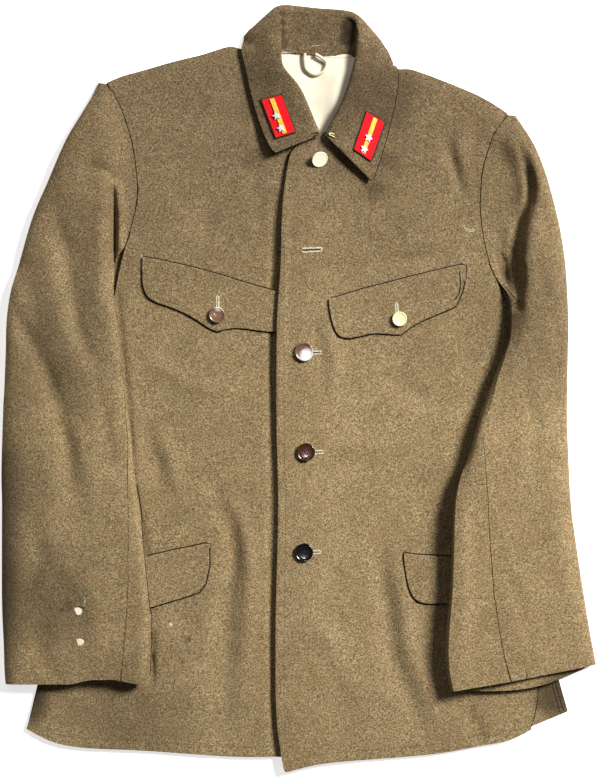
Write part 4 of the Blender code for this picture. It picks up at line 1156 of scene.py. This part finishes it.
@dataclass
class SmallPart:
    """Copy of a small solid, smoothed where it is soft, in its own finish."""

    node: str
    slot: str
    levels: int = 2
    hold: float = 0.7

    def build(self, nodes: dict[str, bpy.types.Object], cloths: Cloths) -> None:
        """Builds the part from its solid.

        Args:
            nodes: Solids of the frame by name.
            cloths: Finishes.
        """
        piece = Bench.copy_solid("dressed_" + self.node, nodes[self.node], PART_ANGLE)
        Bench.pick(piece, lambda edge: folded(edge, PART_ANGLE), "EDGE")
        bpy.ops.transform.edge_crease(value=self.hold)
        Bench.done()
        Bench.apply(piece, "SUBSURF", levels=self.levels, render_levels=self.levels)
        Bench.dress(piece, cloths[self.slot], self.slot, 45.0)
        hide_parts(self.node)


@dataclass
class HangerLoop:
    """Rolled tape sewn into the neck seam, lying in a small ring on the neck lining."""

    rows: tuple[Row, ...] = ((304.8, 52.6, 6.9), (304.4, 60.0, 6.2), (306.4, 69.0, 5.6),
                             (314.6, 74.0, 5.4), (323.6, 70.6, 5.6), (326.4, 62.0, 6.2),
                             (321.0, 57.0, 7.0), (315.4, 53.6, 6.9))
    width_mm: float = 3.2
    steps: int = 5

    def build(self, cloths: Cloths) -> None:
        """Args:
            cloths: Finishes.
        """
        points = [spot(*row) for row in self.rows]
        ends = [2.0 * points[0] - points[1]] + points + [2.0 * points[-1] - points[-2]]
        path = []
        for one, two, three, four in zip(ends, ends[1:], ends[2:], ends[3:]):
            for step in range(self.steps):
                t = step / self.steps
                path.append(0.5 * (2.0 * two + (three - one) * t
                                   + (2.0 * one - 5.0 * two + 4.0 * three - four) * t * t
                                   + (3.0 * two - one - 3.0 * three + four) * t ** 3))
        path.append(points[-1])
        line = bpy.data.curves.new("neck_hanger_loop", "CURVE")
        line.dimensions = "3D"
        line.bevel_depth = 0.5 * self.width_mm * MM
        line.bevel_resolution = 4
        line.use_fill_caps = True
        spline = line.splines.new("POLY")
        spline.points.add(len(path) - 1)
        for place, point in zip(spline.points, path):
            place.co = (*point, 1.0)
        spline.use_smooth = True
        piece = Bench.link("neck_hanger_loop", line)
        line.materials.append(cloths["tape"])
        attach(piece, BODY)
        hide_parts("hanger_loop")


@dataclass
class Studio:
    """White floor, key light from the upper right, sky fill and the camera overhead."""

    width_px: int = 600
    height_px: int = 780
    lens_mm: float = 100.0
    sensor_mm: float = 36.0
    plane_mm: float = 10.0
    key_watts: float = 352.0
    fill: float = 0.055
    floor_glow: float = 0.65
    # Name, place and width in metres, and share of the key light's watts.
    lamps: tuple[tuple[str, Row, float, float], ...] = (
        ("key", (2.6, 1.8, 2.7), 1.1, 1.0),
        ("rim", (-0.7, 3.2, 1.9), 1.2, 0.06),
        ("front", (0.06, 0.16, 5.0), 0.14, 0.02))

    def build(self) -> None:
        """Builds the studio."""
        white = (1.0, 1.0, 1.0, 1.0)
        bpy.ops.object.select_all(action="DESELECT")
        bpy.ops.mesh.primitive_plane_add(size=6.0, location=(0.0, 0.0, -0.0006))
        floor = Bench.new("studio_floor")
        # Matt white paper: even and bright, so that the edge of the cloth stands out.
        paper, _, shader = Finish("white_paper_floor", "FFFFFF", 1.0).start()
        shader.inputs["Emission Color"].default_value = white
        shader.inputs["Emission Strength"].default_value = self.floor_glow
        floor.data.materials.append(paper)
        world = bpy.data.worlds.new("studio_world")
        bpy.context.scene.world = world
        world.use_nodes = True
        sky = world.node_tree.nodes["Background"]
        sky.inputs["Color"].default_value = white
        sky.inputs["Strength"].default_value = self.fill
        for name, place, size, share in self.lamps:
            lamp = bpy.data.lights.new(name, "AREA")
            lamp.size = size
            lamp.energy = share * self.key_watts
            holder = Bench.link(name, lamp)
            holder.location = place
            holder.rotation_euler = (-Vector(place)).to_track_quat("-Z", "Y").to_euler()
        lens = bpy.data.cameras.new("camera")
        lens.lens = self.lens_mm
        lens.sensor_width = self.sensor_mm
        lens.sensor_fit = "AUTO"
        lens.dof.use_dof = False
        camera = Bench.link("camera", lens)
        away = self.height_px * self.lens_mm / self.sensor_mm
        camera.location = spot(0.5 * self.width_px, 0.5 * self.height_px, away + self.plane_mm)
        bpy.context.scene.camera = camera
        bpy.context.scene.view_settings.view_transform = "Standard"


def creased(*lines: tuple[Row, ...]) -> tuple[Crease, ...]:
    """Creases along lines."""
    return tuple(Crease(rows) for rows in lines)


def flap(node: str, flat: tuple[float, float], area: float, under: str) -> ClothPiece:
    """Pocket flap, whose edges are all turned."""
    return ClothPiece(node, "wool", flat, area, under, wave_mm=0.15, turned_edges=(0, 600))


def tab(side: str) -> ClothPiece:
    """Rank tab on one side of the collar."""
    return ClothPiece("rank_tab_" + side, "red_cloth", (0.040, 0.021), 0.00082,
                      "cloth_collar_fall", wave_mm=0.08)


# Creases: corners of each with across, down, half width and rise.
FRONT_CREASES = creased(
    ((226, 500, 8, 1), (247, 540, 9, 3.2), (249, 600, 9, 2.8), (240, 700, 10, 1.2)),
    ((160, 430, 7, 0.8), (171, 462, 8, 2.8), (177, 490, 7, 0.8)),
    ((274, 190, 3, -0.5), (272, 260, 3.4, -1.7), (270.5, 500, 3.6, -1.9), (271, 700, 3.4, -1.7),
        (274, 757, 3, -0.8)),
    ((213, 488, 9, -1.2), (232, 526, 8, -3.2), (234, 564, 8, -3.2), (225, 606, 10, -2.8),
        (223, 740, 14, -1)),
    ((146, 434, 8, -0.9), (154, 462, 9, -2.2), (161, 484, 8, -0.8)),
    ((211, 92, 6, -0.9), (199, 108, 7, -2.2), (181, 132, 7, -0.9)),
    ((211, 203, 7, -0.7), (206, 223, 8, -1.9), (201, 238, 7, -0.6)),
    ((140, 356, 9, 0.7), (180, 380, 12, 2.2), (230, 390, 10, 0.7)),
    ((150, 520, 9, 0.6), (190, 505, 12, 2), (262, 470, 10, 0.7)),
    ((110, 650, 10, -0.7), (150, 668, 12, -2.2), (210, 660, 9, -0.7)),
    ((180, 690, 10, 0.7), (220, 700, 12, 1.9), (262, 690, 9, 0.5)),
    ((262, 120, 8, -0.6), (256, 180, 10, -1.6), (262, 240, 8, -0.6)),
    ((160, 180, 10, 0.4), (172, 210, 14, 1.5), (160, 240, 10, 0.4)),
    ((117, 294, 2.6, -1.2), (120, 330, 2.6, -2), (124, 370, 2.6, -2.2), (129, 420, 2.6, -2.2),
        (132, 470, 2.6, -2), (138, 510, 2.8, -1.8), (146.5, 570, 2.8, -3.8), (150.6, 620, 3, -4.2),
        (151.4, 680, 3.2, -3.8)),
)

OVER_CREASES = creased(
    ((393, 550, 8, 1), (402, 603, 10, 3.2), (408, 655, 10, 3), (436, 722, 10, 1.2)),
    ((328, 325, 6, 0.6), (334, 360, 8, 2.2), (335, 392, 6, 0.6)),
    ((458, 132, 5, 0.5), (462, 158, 6, 2), (470, 188, 5, 0.6)),
    ((379, 548, 8, -0.7), (386, 603, 10, -3), (391, 653, 11, -2.8), (421, 728, 12, -1.1)),
    ((470, 714, 7, -1.6), (480, 737, 7, -2.2)),
    ((316, 322, 7, -0.8), (320, 362, 9, -2.4), (322, 392, 7, -0.8)),
    ((371, 266, 6, -0.9), (406, 260, 7, -2.3), (446, 254, 7, -1.1)),
    ((330, 440, 9, 0.6), (370, 452, 13, 2.1), (420, 440, 10, 0.7)),
    ((300, 620, 9, 0.6), (330, 640, 12, 2), (352, 690, 10, 0.8)),
    ((430, 640, 9, 0.7), (455, 668, 12, 1.9), (500, 684, 10, 0.7)),
    ((300, 200, 7, -0.6), (322, 214, 9, -1.8), (352, 216, 8, -0.7)),
    ((395, 380, 9, -0.6), (420, 398, 11, -2), (452, 402, 9, -0.6)),
    ((446, 136, 5, -0.8), (452, 160, 5, -2.8), (461, 190, 5, -1)),
    ((481, 124, 5, -0.8), (476, 137, 5, -2.4), (471, 149, 5, -0.8)),
    ((400, 96, 8, -0.6), (396, 140, 9, -1.6), (388, 190, 8, -0.6)),
)

RIGHT_SLEEVE_CREASES = creased(
    ((56, 205, 8, -1), (60, 235, 9, -2.8), (67, 264, 9, -3.2), (73, 300, 9, -3.8),
        (77, 326, 8, -3.6), (86, 347, 8, -3.2), (96, 366, 7, -1.4)),
    ((10, 296, 7, -1), (24, 330, 8, -3), (36, 350, 9, -3.4), (45, 370, 9, -3.4),
        (54, 394, 9, -3.4), (62, 420, 9, -3.2), (68, 450, 9, -2.6), (72, 492, 8, -1.2)),
    ((34, 520, 9, -0.8), (40, 560, 12, -2.6), (26, 598, 9, -2)),
    ((84, 170, 5, -0.8), (94, 168, 5, -2.4), (108, 172, 5, -2.6), (124, 182, 5, -1)),
    ((112.5, 180, 2.8, -2.5), (114, 202, 2.5, -8), (114.4, 232, 2.5, -10.5), (114, 256, 2.5, -10),
        (113, 278, 2.4, -3)),
    ((120, 190, 4, 0.6), (121.5, 212, 4, 3.4), (119.5, 246, 3.4, 3)),
    ((98, 183, 5, 0.5), (110, 184, 5, 2), (126, 192, 5, 0.6)),
    ((105, 180, 6, 0.5), (104, 215, 7, 2.2), (103, 260, 8, 1.6), (100, 300, 8, 0.6)),
    ((50, 400, 8, 0.6), (80, 440, 10, 1.6), (96, 500, 9, 0.6)),
    ((46, 612, 9, -0.8), (40, 650, 11, -2.2), (54, 676, 8, -0.8)),
    ((98, 380, 7, -0.5), (108, 430, 8, -1.6), (112, 470, 7, -0.6)),
    ((60, 560, 9, 0.6), (90, 590, 12, 1.6), (104, 650, 9, 0.6)),
)

LEFT_SLEEVE_CREASES = creased(
    ((520, 148, 5, -1), (525, 163, 5.6, -5.5), (528, 176, 5.4, -9), (530, 190, 5, -11),
        (528, 204, 5.4, -9.5), (521, 220, 6, -9), (517, 242, 5.4, -8.5), (516, 262, 5, -8.5),
        (518, 285, 4.4, -7), (517, 308, 4, -4)),
    ((503, 222, 6, 0.8), (508, 240, 6, 2.2), (508, 256, 5, 1.2)),
    ((496, 250, 3, -0.8), (503, 262, 3.4, -3.2), (507, 280, 3, -2)),
    ((536, 214, 7, 0.8), (531, 250, 8, 1.8), (532, 300, 9, 1)),
    ((500, 258, 4, -0.8), (504, 272, 4, -2.6), (512, 292, 4, -1)),
    ((540, 236, 7, 0.5), (552, 290, 9, 1.6), (548, 350, 8, 0.8)),
    ((520, 382, 7, -0.6), (534, 422, 9, -2.2), (532, 472, 8, -0.8)),
    ((501, 562, 7, -0.8), (518, 602, 8, -2), (528, 652, 7, -0.8)),
    ((548, 470, 8, 0.5), (560, 540, 11, 1.8), (566, 600, 8, 0.7)),
    ((470, 520, 6, 0.4), (468, 580, 8, 1.4), (466, 640, 6, 0.5)),
)

RIGHT_UNDERSLEEVE_CREASES = creased(
    ((20, 520, 6, -0.6), (44, 560, 8, -1.4), (80, 640, 8, -0.8)),
)

LINING_CREASES = creased(
    ((316, 62, 2.4, -0.8), (314, 92, 3, -1.6), (320, 126, 2.4, -0.8)),
    ((331, 60, 3, 0.8), (333, 84, 3.4, 1.8), (328, 112, 3, 0.8)),
    ((298, 60, 3, 0.5), (301, 78, 3, 1.3), (308, 100, 2.6, 0.5)),
    ((342, 60, 2.4, -0.6), (341, 80, 2.6, -1.4), (337, 100, 2.4, -0.6)),
)

# Lines of the sleeves drawn sideways: down, then pairs of from and to, across.
RIGHT_SLEEVE_DRAWS = (
    (420, 94, 94, 128, 128, 140, 140), (464, 94, 94, 124, 128.5, 131, 131.5),
    (486, 94, 94, 118, 128.8, 134, 134.6), (509, 94, 94, 113, 129, 137, 138),
    (531, 94, 94, 111.6, 129, 140, 141), (586, 94, 94, 110, 128.6, 145, 146),
    (616, 94, 94, 109, 126.6, 147, 149), (640, 94, 94, 108, 124.2, 149, 150),
    (690, 94, 94, 106, 121.6, 149, 149),
)

LEFT_SLEEVE_DRAWS = (
    (340, 480, 480, 500, 500, 560, 560), (395, 486, 482, 500, 493, 565, 565),
    (430, 476, 473, 498, 482.5, 566, 566), (458, 468, 465.5, 496, 485, 566, 566),
    (500, 461, 457, 496.4, 488, 568, 568), (541, 458.2, 454.4, 498.6, 490, 572, 572),
    (592, 456.8, 453, 501, 493.2, 578, 578), (632, 455, 449.8, 504, 500, 584, 584),
    (671, 457, 451.5, 508.6, 509.4, 590, 590), (690, 458.4, 453.3, 511, 513, 592, 592),
)

# Cut pieces: node, slot, flat size in metres, flat area, what it lies on.
CLOTH_PIECES = (
    ClothPiece("back", "wool", (0.542, 0.713), 0.2955, "studio_floor", 2),
    ClothPiece("front_right", "wool", (0.300, 0.714), 0.1603, "cloth_back", creases=FRONT_CREASES,
        turned_edges=(150, 470)),
    ClothPiece("front_left", "wool", (0.268, 0.715), 0.1582, "cloth_front_right",
        creases=OVER_CREASES, turned_edges=(150, 470),
        nudges=(Nudge(280, 215, 10, 75, (2.6, 0, 0)), Nudge(278, 290, 8, 130, (0, 0, 1.8)))),
    ClothPiece("undersleeve_right", "wool", (0.155, 0.601), 0.0733, "studio_floor", 2,
        layer=Layer.UPPER, creases=RIGHT_UNDERSLEEVE_CREASES, layer_high=(4.5, 12),
        draws=RIGHT_SLEEVE_DRAWS, nudges=(Nudge(118, 264, 7, 14, (-7.5, 0, -1.5)),
        Nudge(0, 560, 9, 150, (2.4, 0, -3)), Nudge(104, 686, 24, 9, (0, 4.2, 0)))),
    ClothPiece("undersleeve_left", "wool", (0.150, 0.576), 0.0633, "cloth_front_left", 2,
        layer=Layer.UPPER, draws=LEFT_SLEEVE_DRAWS,
        nudges=(Nudge(452, 590, 16, 110, (0, 0, 3.5)),)),
    ClothPiece("topsleeve_right", "wool", (0.150, 0.602), 0.0720, "cloth_undersleeve_right",
        layer=Layer.UPPER, creases=RIGHT_SLEEVE_CREASES, layer_high=(4.5, 12),
        draws=RIGHT_SLEEVE_DRAWS, nudges=(Nudge(124, 274, 7, 18, (-8.5, 0, -3)),
        Nudge(2, 560, 9, 150, (-2.6, 0, 0)), Nudge(104, 686, 24, 9, (0, 4.2, 0)))),
    ClothPiece("topsleeve_left", "wool", (0.130, 0.566), 0.0519, "cloth_undersleeve_left",
        layer=Layer.UPPER, creases=LEFT_SLEEVE_CREASES, draws=LEFT_SLEEVE_DRAWS,
        nudges=(Nudge(504, 262, 9, 30, (0, 0, -2)),)),
    ClothPiece("collar_stand", "wool_dark", (0.085, 0.111), 0.0049, "cloth_back", 2, held="folded",
        wave_mm=0, nudges=(Nudge(320, 13, 200, 4, (0, 2.3, 0.2)),)),
    ClothPiece("collar_fall", "wool_dark", (0.160, 0.190), 0.0196, "cloth_front_left",
        held="folded", wave_mm=0.2, hold=0.6),
    flap("breast_flap_right", (0.144, 0.076), 0.0071, "cloth_front_right"),
    flap("breast_flap_left", (0.137, 0.074), 0.0065, "cloth_front_left"),
    flap("hip_flap_right", (0.125, 0.083), 0.0067, "cloth_front_right"),
    flap("hip_flap_left", (0.108, 0.052), 0.00505, "cloth_front_left"),
    ClothPiece("neck_lining", "lining", (0.092, 0.091), 0.0073, "cloth_back",
        creases=LINING_CREASES, wave_mm=0.25, nudges=(Nudge(318, 54, 60, 9, (0, 7.5, 0)),
        Nudge(283, 56, 9, 12, (-6, 0, 0)), Nudge(354, 56, 9, 12, (6, 0, 0)),
        Nudge(352, 92, 24, 32, (0, 0, 7.5)), Nudge(286, 52.5, 8, 6, (0, 3.6, 0)))),
    ClothPiece("sleeve_lining_right", "lining", (0.060, 0.096), 0.0057,
        "cloth_undersleeve_right", 2, wave_mm=0.1, nudges=(Nudge(80.6, 609, 11, 11, (0, 0, 2.1)),
        Nudge(82, 640, 11, 11, (0, 0, 2.4)))),
    tab("right"),
    tab("left"),
)

SMALL_PARTS = (
    SmallPart("rank_stripe_right", "yellow_braid"),
    SmallPart("rank_stripe_left", "yellow_braid"),
    *(SmallPart(f"star_{side}_{place}", "silver", 1, 0.9)
      for side in ("right", "left") for place in ("upper", "lower")),
    SmallPart("collar_hook", "brass", 1, 0.6),
    SmallPart("collar_eye", "black_enamel", 1, 0.6),
)

BUTTONS = (
    Button("front_button_1", "ivory_brass", 37, 30, rim=0.05, dish_mm=0.25, thick_mm=1.6),
    Button("front_button_2", "bronze"),
    Button("front_button_3", "dark_bronze"),
    Button("front_button_4", "black_enamel"),
    Button("pocket_button_right", "bronze", finish="pocket_bronze"),
    Button("pocket_button_left", "brass"),
)

BUTTONHOLES = (
    Buttonhole("buttonhole_top", (302, 250.5), (321.5, 249.5), 1.7, 0.7),
    Buttonhole("buttonhole_2", (292.5, 353.5), (321, 352.5)),
    Buttonhole("buttonhole_3", (311, 452.5), (323, 452)),
    Buttonhole("buttonhole_4", (309, 552.5), (320.5, 552)),
    Buttonhole("buttonhole_pocket_right", (217.5, 308), (217.5, 296.5), 1.1, 0.35),
    Buttonhole("buttonhole_pocket_left", (396.8, 312), (396.4, 303.5), 1.1, 0.35),
)

HOLES = (
    WornHole("sleeve_hole_fibres_upper", 80.6, 609, (5.6, 5), 30, (0.8, 2.2)),
    WornHole("sleeve_hole_fibres_lower", 82, 640, (4.8, 4.5), 26, (0.8, 2)),
    WornHole("sleeve_hole_threads", 84.4, 602.6, (1.6, 3.6), 9, (2, 3.6), True, True),
    WornHole("body_moth_spot", 170.5, 625, (1.3, 1.1), 36, (1.6, 3.6), False, True),
)

# Seam lines: corners of each, across and down.
ARMHOLE_RIGHT = ((113, 92), (118.6, 102), (122, 110), (128, 128), (133, 147), (136, 168),
    (138, 188), (137, 203), (133, 219), (129, 236), (122.5, 253), (119, 270), (114.5, 292),
    (109, 318))
ARMHOLE_LEFT = ((501, 123.5), (494, 133), (489.5, 146), (485, 160), (482, 173), (481, 187),
    (480, 203), (481, 220), (483, 234), (486, 250), (490, 265), (495, 276), (499.4, 284),
    (503, 297), (506, 312), (507, 330), (509, 350))

ALLOWANCES = (
    SeamAllowance("armhole_allowance_right", ((105.4, 83), *ARMHOLE_RIGHT), 8.5, 3.3,
        low_from=242),
    SeamAllowance("forearm_allowance_right", ((129, 466), (129, 531), (128.6, 586), (126.6, 616),
        (124.2, 640), (122, 683)), 3, below_mm=1.1),
    SeamAllowance("forearm_allowance_left", ((482.5, 431), (488, 500), (490, 541), (493.2, 592),
        (500, 632), (508.5, 668)), 3, below_mm=1.1),
    SeamAllowance("armhole_allowance_left", ((508.6, 114), *ARMHOLE_LEFT), 7, 3.3, low_from=270),
)

SEAMS = (
    SeamSewing("front_edge_sewing", (((300, 152), (293, 170), (289, 191), (286, 215), (285, 250),
        (284, 300), (284, 428), (286, 505), (284.5, 581), (284, 658), (285, 734), (288, 757)),)),
    SeamSewing("hem_sewing", (((288, 762), (298, 759), (321, 754), (362, 751), (402, 748),
        (443, 744), (484, 736), (518, 730)), ((34, 727), (52, 734), (82, 739), (134, 741),
        (191, 745), (241, 748), (272, 747)),)),
    SeamSewing("breast_flap_sewing_right", (((149, 290), (156, 296.5), (182, 306), (195, 312.6),
        (206, 320.6), (214, 325.4), (222, 323.2), (237, 322.2), (262, 325.6), (275, 326.4)),)),
    SeamSewing("breast_flap_sewing_left", (((336, 320), (340, 329.8), (348, 332.2), (361, 329.6),
        (386, 327.2), (399, 328.2), (408, 321.6), (421, 314.8), (433, 309.8), (446, 304.8),
        (456, 299.4), (460.4, 292)),)),
    SeamSewing("hip_flap_sewing_right", (((90, 617), (120, 609.6), (147, 601.6), (170, 594.8),
        (190, 588.8), (198, 585)),)),
    SeamSewing("hip_flap_sewing_left", (((411, 580), (416, 590), (420, 594.6), (427, 596.6),
        (451, 596.2), (476, 596.6), (496, 597.4)),)),
    SeamSewing("collar_sewing_right", (((252, 62), (256, 80), (262, 99), (269, 118), (275.6, 134),
        (280, 145.6), (296, 142), (312, 136.4)),)),
    SeamSewing("collar_sewing_left", (((392, 70), (392, 84), (389.4, 103), (384, 124),
        (378.6, 145), (373, 163), (368, 173), (352, 163), (334, 146)),)),
)

# Painted shade: lines of nearly black stitches laid where narrow shadow gaps fall, at the pocket
# mouths, round the flaps, along the armholes, at the hem's side edges, beside the right sleeve's
# inner edge and along the collar fall's outer edge.
PAINTED_SHADE_LINES = (
    SeamSewing("pocket_mouths", (((142.6, 256.2), (149, 257.2), (156, 258.4), (169, 261.4),
        (182, 264), (195, 267.2), (207, 270.4), (225, 275.4), (249, 283), (276, 290.4)),
        ((331, 297.8), (338.4, 296), (348, 292.8), (361, 288.8), (375, 285.2), (387, 282.2),
        (401, 278.4), (421, 273.4), (446, 267.4), (462, 263.8), (466.6, 266), (466.2, 277),
        (462.8, 292), (457, 305)), ((148, 555.8), (170, 550.4), (190, 546.4), (205, 542.8),
        (209.6, 544), (210, 566), (206, 584), (200, 591)), ((404, 552.4), (417, 554.2),
        (451, 556.2))), 2.3, (3.2, 1.4, 0.4), lift=0.1, jitter=0.03),
    SeamSewing("armhole_seam_lines", (((114, 256.6), (123, 255.6)), ((503, 284), (517, 302)),
        ((508, 308), (519, 301)), ((106, 84), *ARMHOLE_RIGHT[:11]),
        ((508, 115), *ARMHOLE_LEFT[:13])), 1.9, (2.6, 1, 0.3), lift=0.05, jitter=0.03),
    SeamSewing("flap_edge_lines", (((142, 262), (142, 284.6), (144.6, 293.8), (149, 299.4),
        (156, 303.2), (169, 307.3), (182, 312.4), (195, 319.4), (207, 327.8), (216, 332.9),
        (225, 329.9), (237, 328.5), (249, 329.8), (262, 331.8), (274, 332.8)), ((328.6, 300),
        (328.8, 304.6), (330.2, 315.6), (333.6, 329.6), (338, 337.2), (348, 339.7), (361, 336.9),
        (375, 333.9), (387, 334.6), (401, 335.8), (409.4, 328.8), (421.4, 321.8), (433.4, 316.8),
        (446.4, 311.4), (457, 306.4)), ((151.5, 608.4), (170, 602.5), (190, 596.5), (199.4, 592.9),
        (205.8, 584.4), (209.9, 566), (209.9, 545)), ((459.6, 271), (460.6, 284), (459.2, 294),
        (454.6, 299.6)), ((403.5, 553.4), (403.5, 560.2), (407.4, 586.4), (411, 596.2),
        (416.8, 602.3), (426, 604.9), (451, 603.9))), 2.1, (2.8, 1.3, 0.3), lift=0.05,
        jitter=0.04),
    SeamSewing("side_edge_lines", (((539.6, 686), (538.4, 704), (535.4, 717), (531.6, 728)),
        ((555.2, 680), (559.6, 696), (564.6, 712)), ((552.2, 682), (556.6, 698), (561.2, 713.5)),
        ((525.8, 671.8), (525.8, 677.6)), ((137, 486), (140.8, 509), (143, 531), (148.6, 586),
        (151.6, 616), (151.4, 640), (149.4, 676)), ((398.9, 73), (398.5, 85), (397, 95),
        (395, 106), (392.5, 117), (389.5, 128), (386.5, 140), (383.5, 150), (380.5, 160),
        (377.5, 168), (375.5, 174), (373.8, 179))), 1.8, (2.4, 0.9, 0.3), lift=0.05, jitter=0.05),
)

TAB_BORDERS = (
    SeamSewing("tab_border_right", (((261, 100.4), (282, 96.1), (295.5, 133.1), (275.6, 139.1),
        (261, 100.4)),), 2, (2.7, 1.9, 1.3), 22, 0.85, 0.2, "red_cloth"),
    SeamSewing("tab_border_left", (((366.3, 112.6), (385, 122.8), (370.8, 161.7), (353.5, 150.2),
        (366.3, 112.6)),), 2, (2.7, 1.9, 1.3), 22, 0.85, 0.2, "red_cloth"),
)

BARS = (
    SeamSewing("neck_bar_tack", (((311, 45.6), (320, 44.6)),), 2.6, (3, 0.45, 0.4), 6, 0.2, 0.1,
        "lining"),
    SeamSewing("pocket_bar_tacks", (((141, 254), (141.6, 270)), ((208.6, 541), (209.6, 548))), 1.3,
        (1.6, 0.6, 0.5), 90, 0.1, 0.2, "lining"),
)

LOOSE_THREADS = SeamSewing("loose_threads", (((463.6, 224.6), (464.4, 227.6), (466.6, 230.2),
    (469.4, 231.6), (472.4, 231.4), (475, 230)), ((466.4, 228.6), (470, 230), (473, 229)),
    ((86, 596), (86.4, 600), (84.8, 605)),), 0.8, (1.3, 0.5, 0.45), lift=0.25, jitter=0.05,
    slot="lining")
NECK_SEAM = SeamSewing("neck_seam_sewing", (((283, 51.2), (298, 54.4), (315, 55.2), (340, 57.2),
    (354, 56.4)),), 1.9, (1.5, 0.45, 0.35), slot="lining")


def main() -> None:
    """Builds and dresses the tunic, piece by piece."""
    logging.basicConfig(level=logging.INFO, format="%(name)s %(message)s")
    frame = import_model()
    nodes = frame["nodes"]
    Studio().build()
    cloths: Cloths = {name: finish.make() for name, finish in FINISHES.items()}
    HangerLoop().build(cloths)
    surface = Surface([piece.build(nodes, cloths[piece.slot]) for piece in CLOTH_PIECES])
    for part in SMALL_PARTS:
        part.build(nodes, cloths)
    for button in BUTTONS:
        button.build(cloths)
    for strip in ALLOWANCES:
        strip.build(surface, cloths["wool"])
    stitches = Stitches(surface)
    for sewing, thread in ((SEAMS, cloths["khaki_thread"]), (PAINTED_SHADE_LINES, cloths["slit"]),
                           (TAB_BORDERS, cloths["dark_thread"]), (BARS, cloths["pale_thread"])):
        for seam in sewing:
            seam.build(stitches, thread)
    for hole in BUTTONHOLES + HOLES:
        hole.build(stitches, cloths)
    LOOSE_THREADS.build(stitches, cloths["pale_thread"])
    NECK_SEAM.build(stitches, cloths["rust_thread"])
    bpy.context.view_layer.update()


if __name__ == "__main__":
    main()
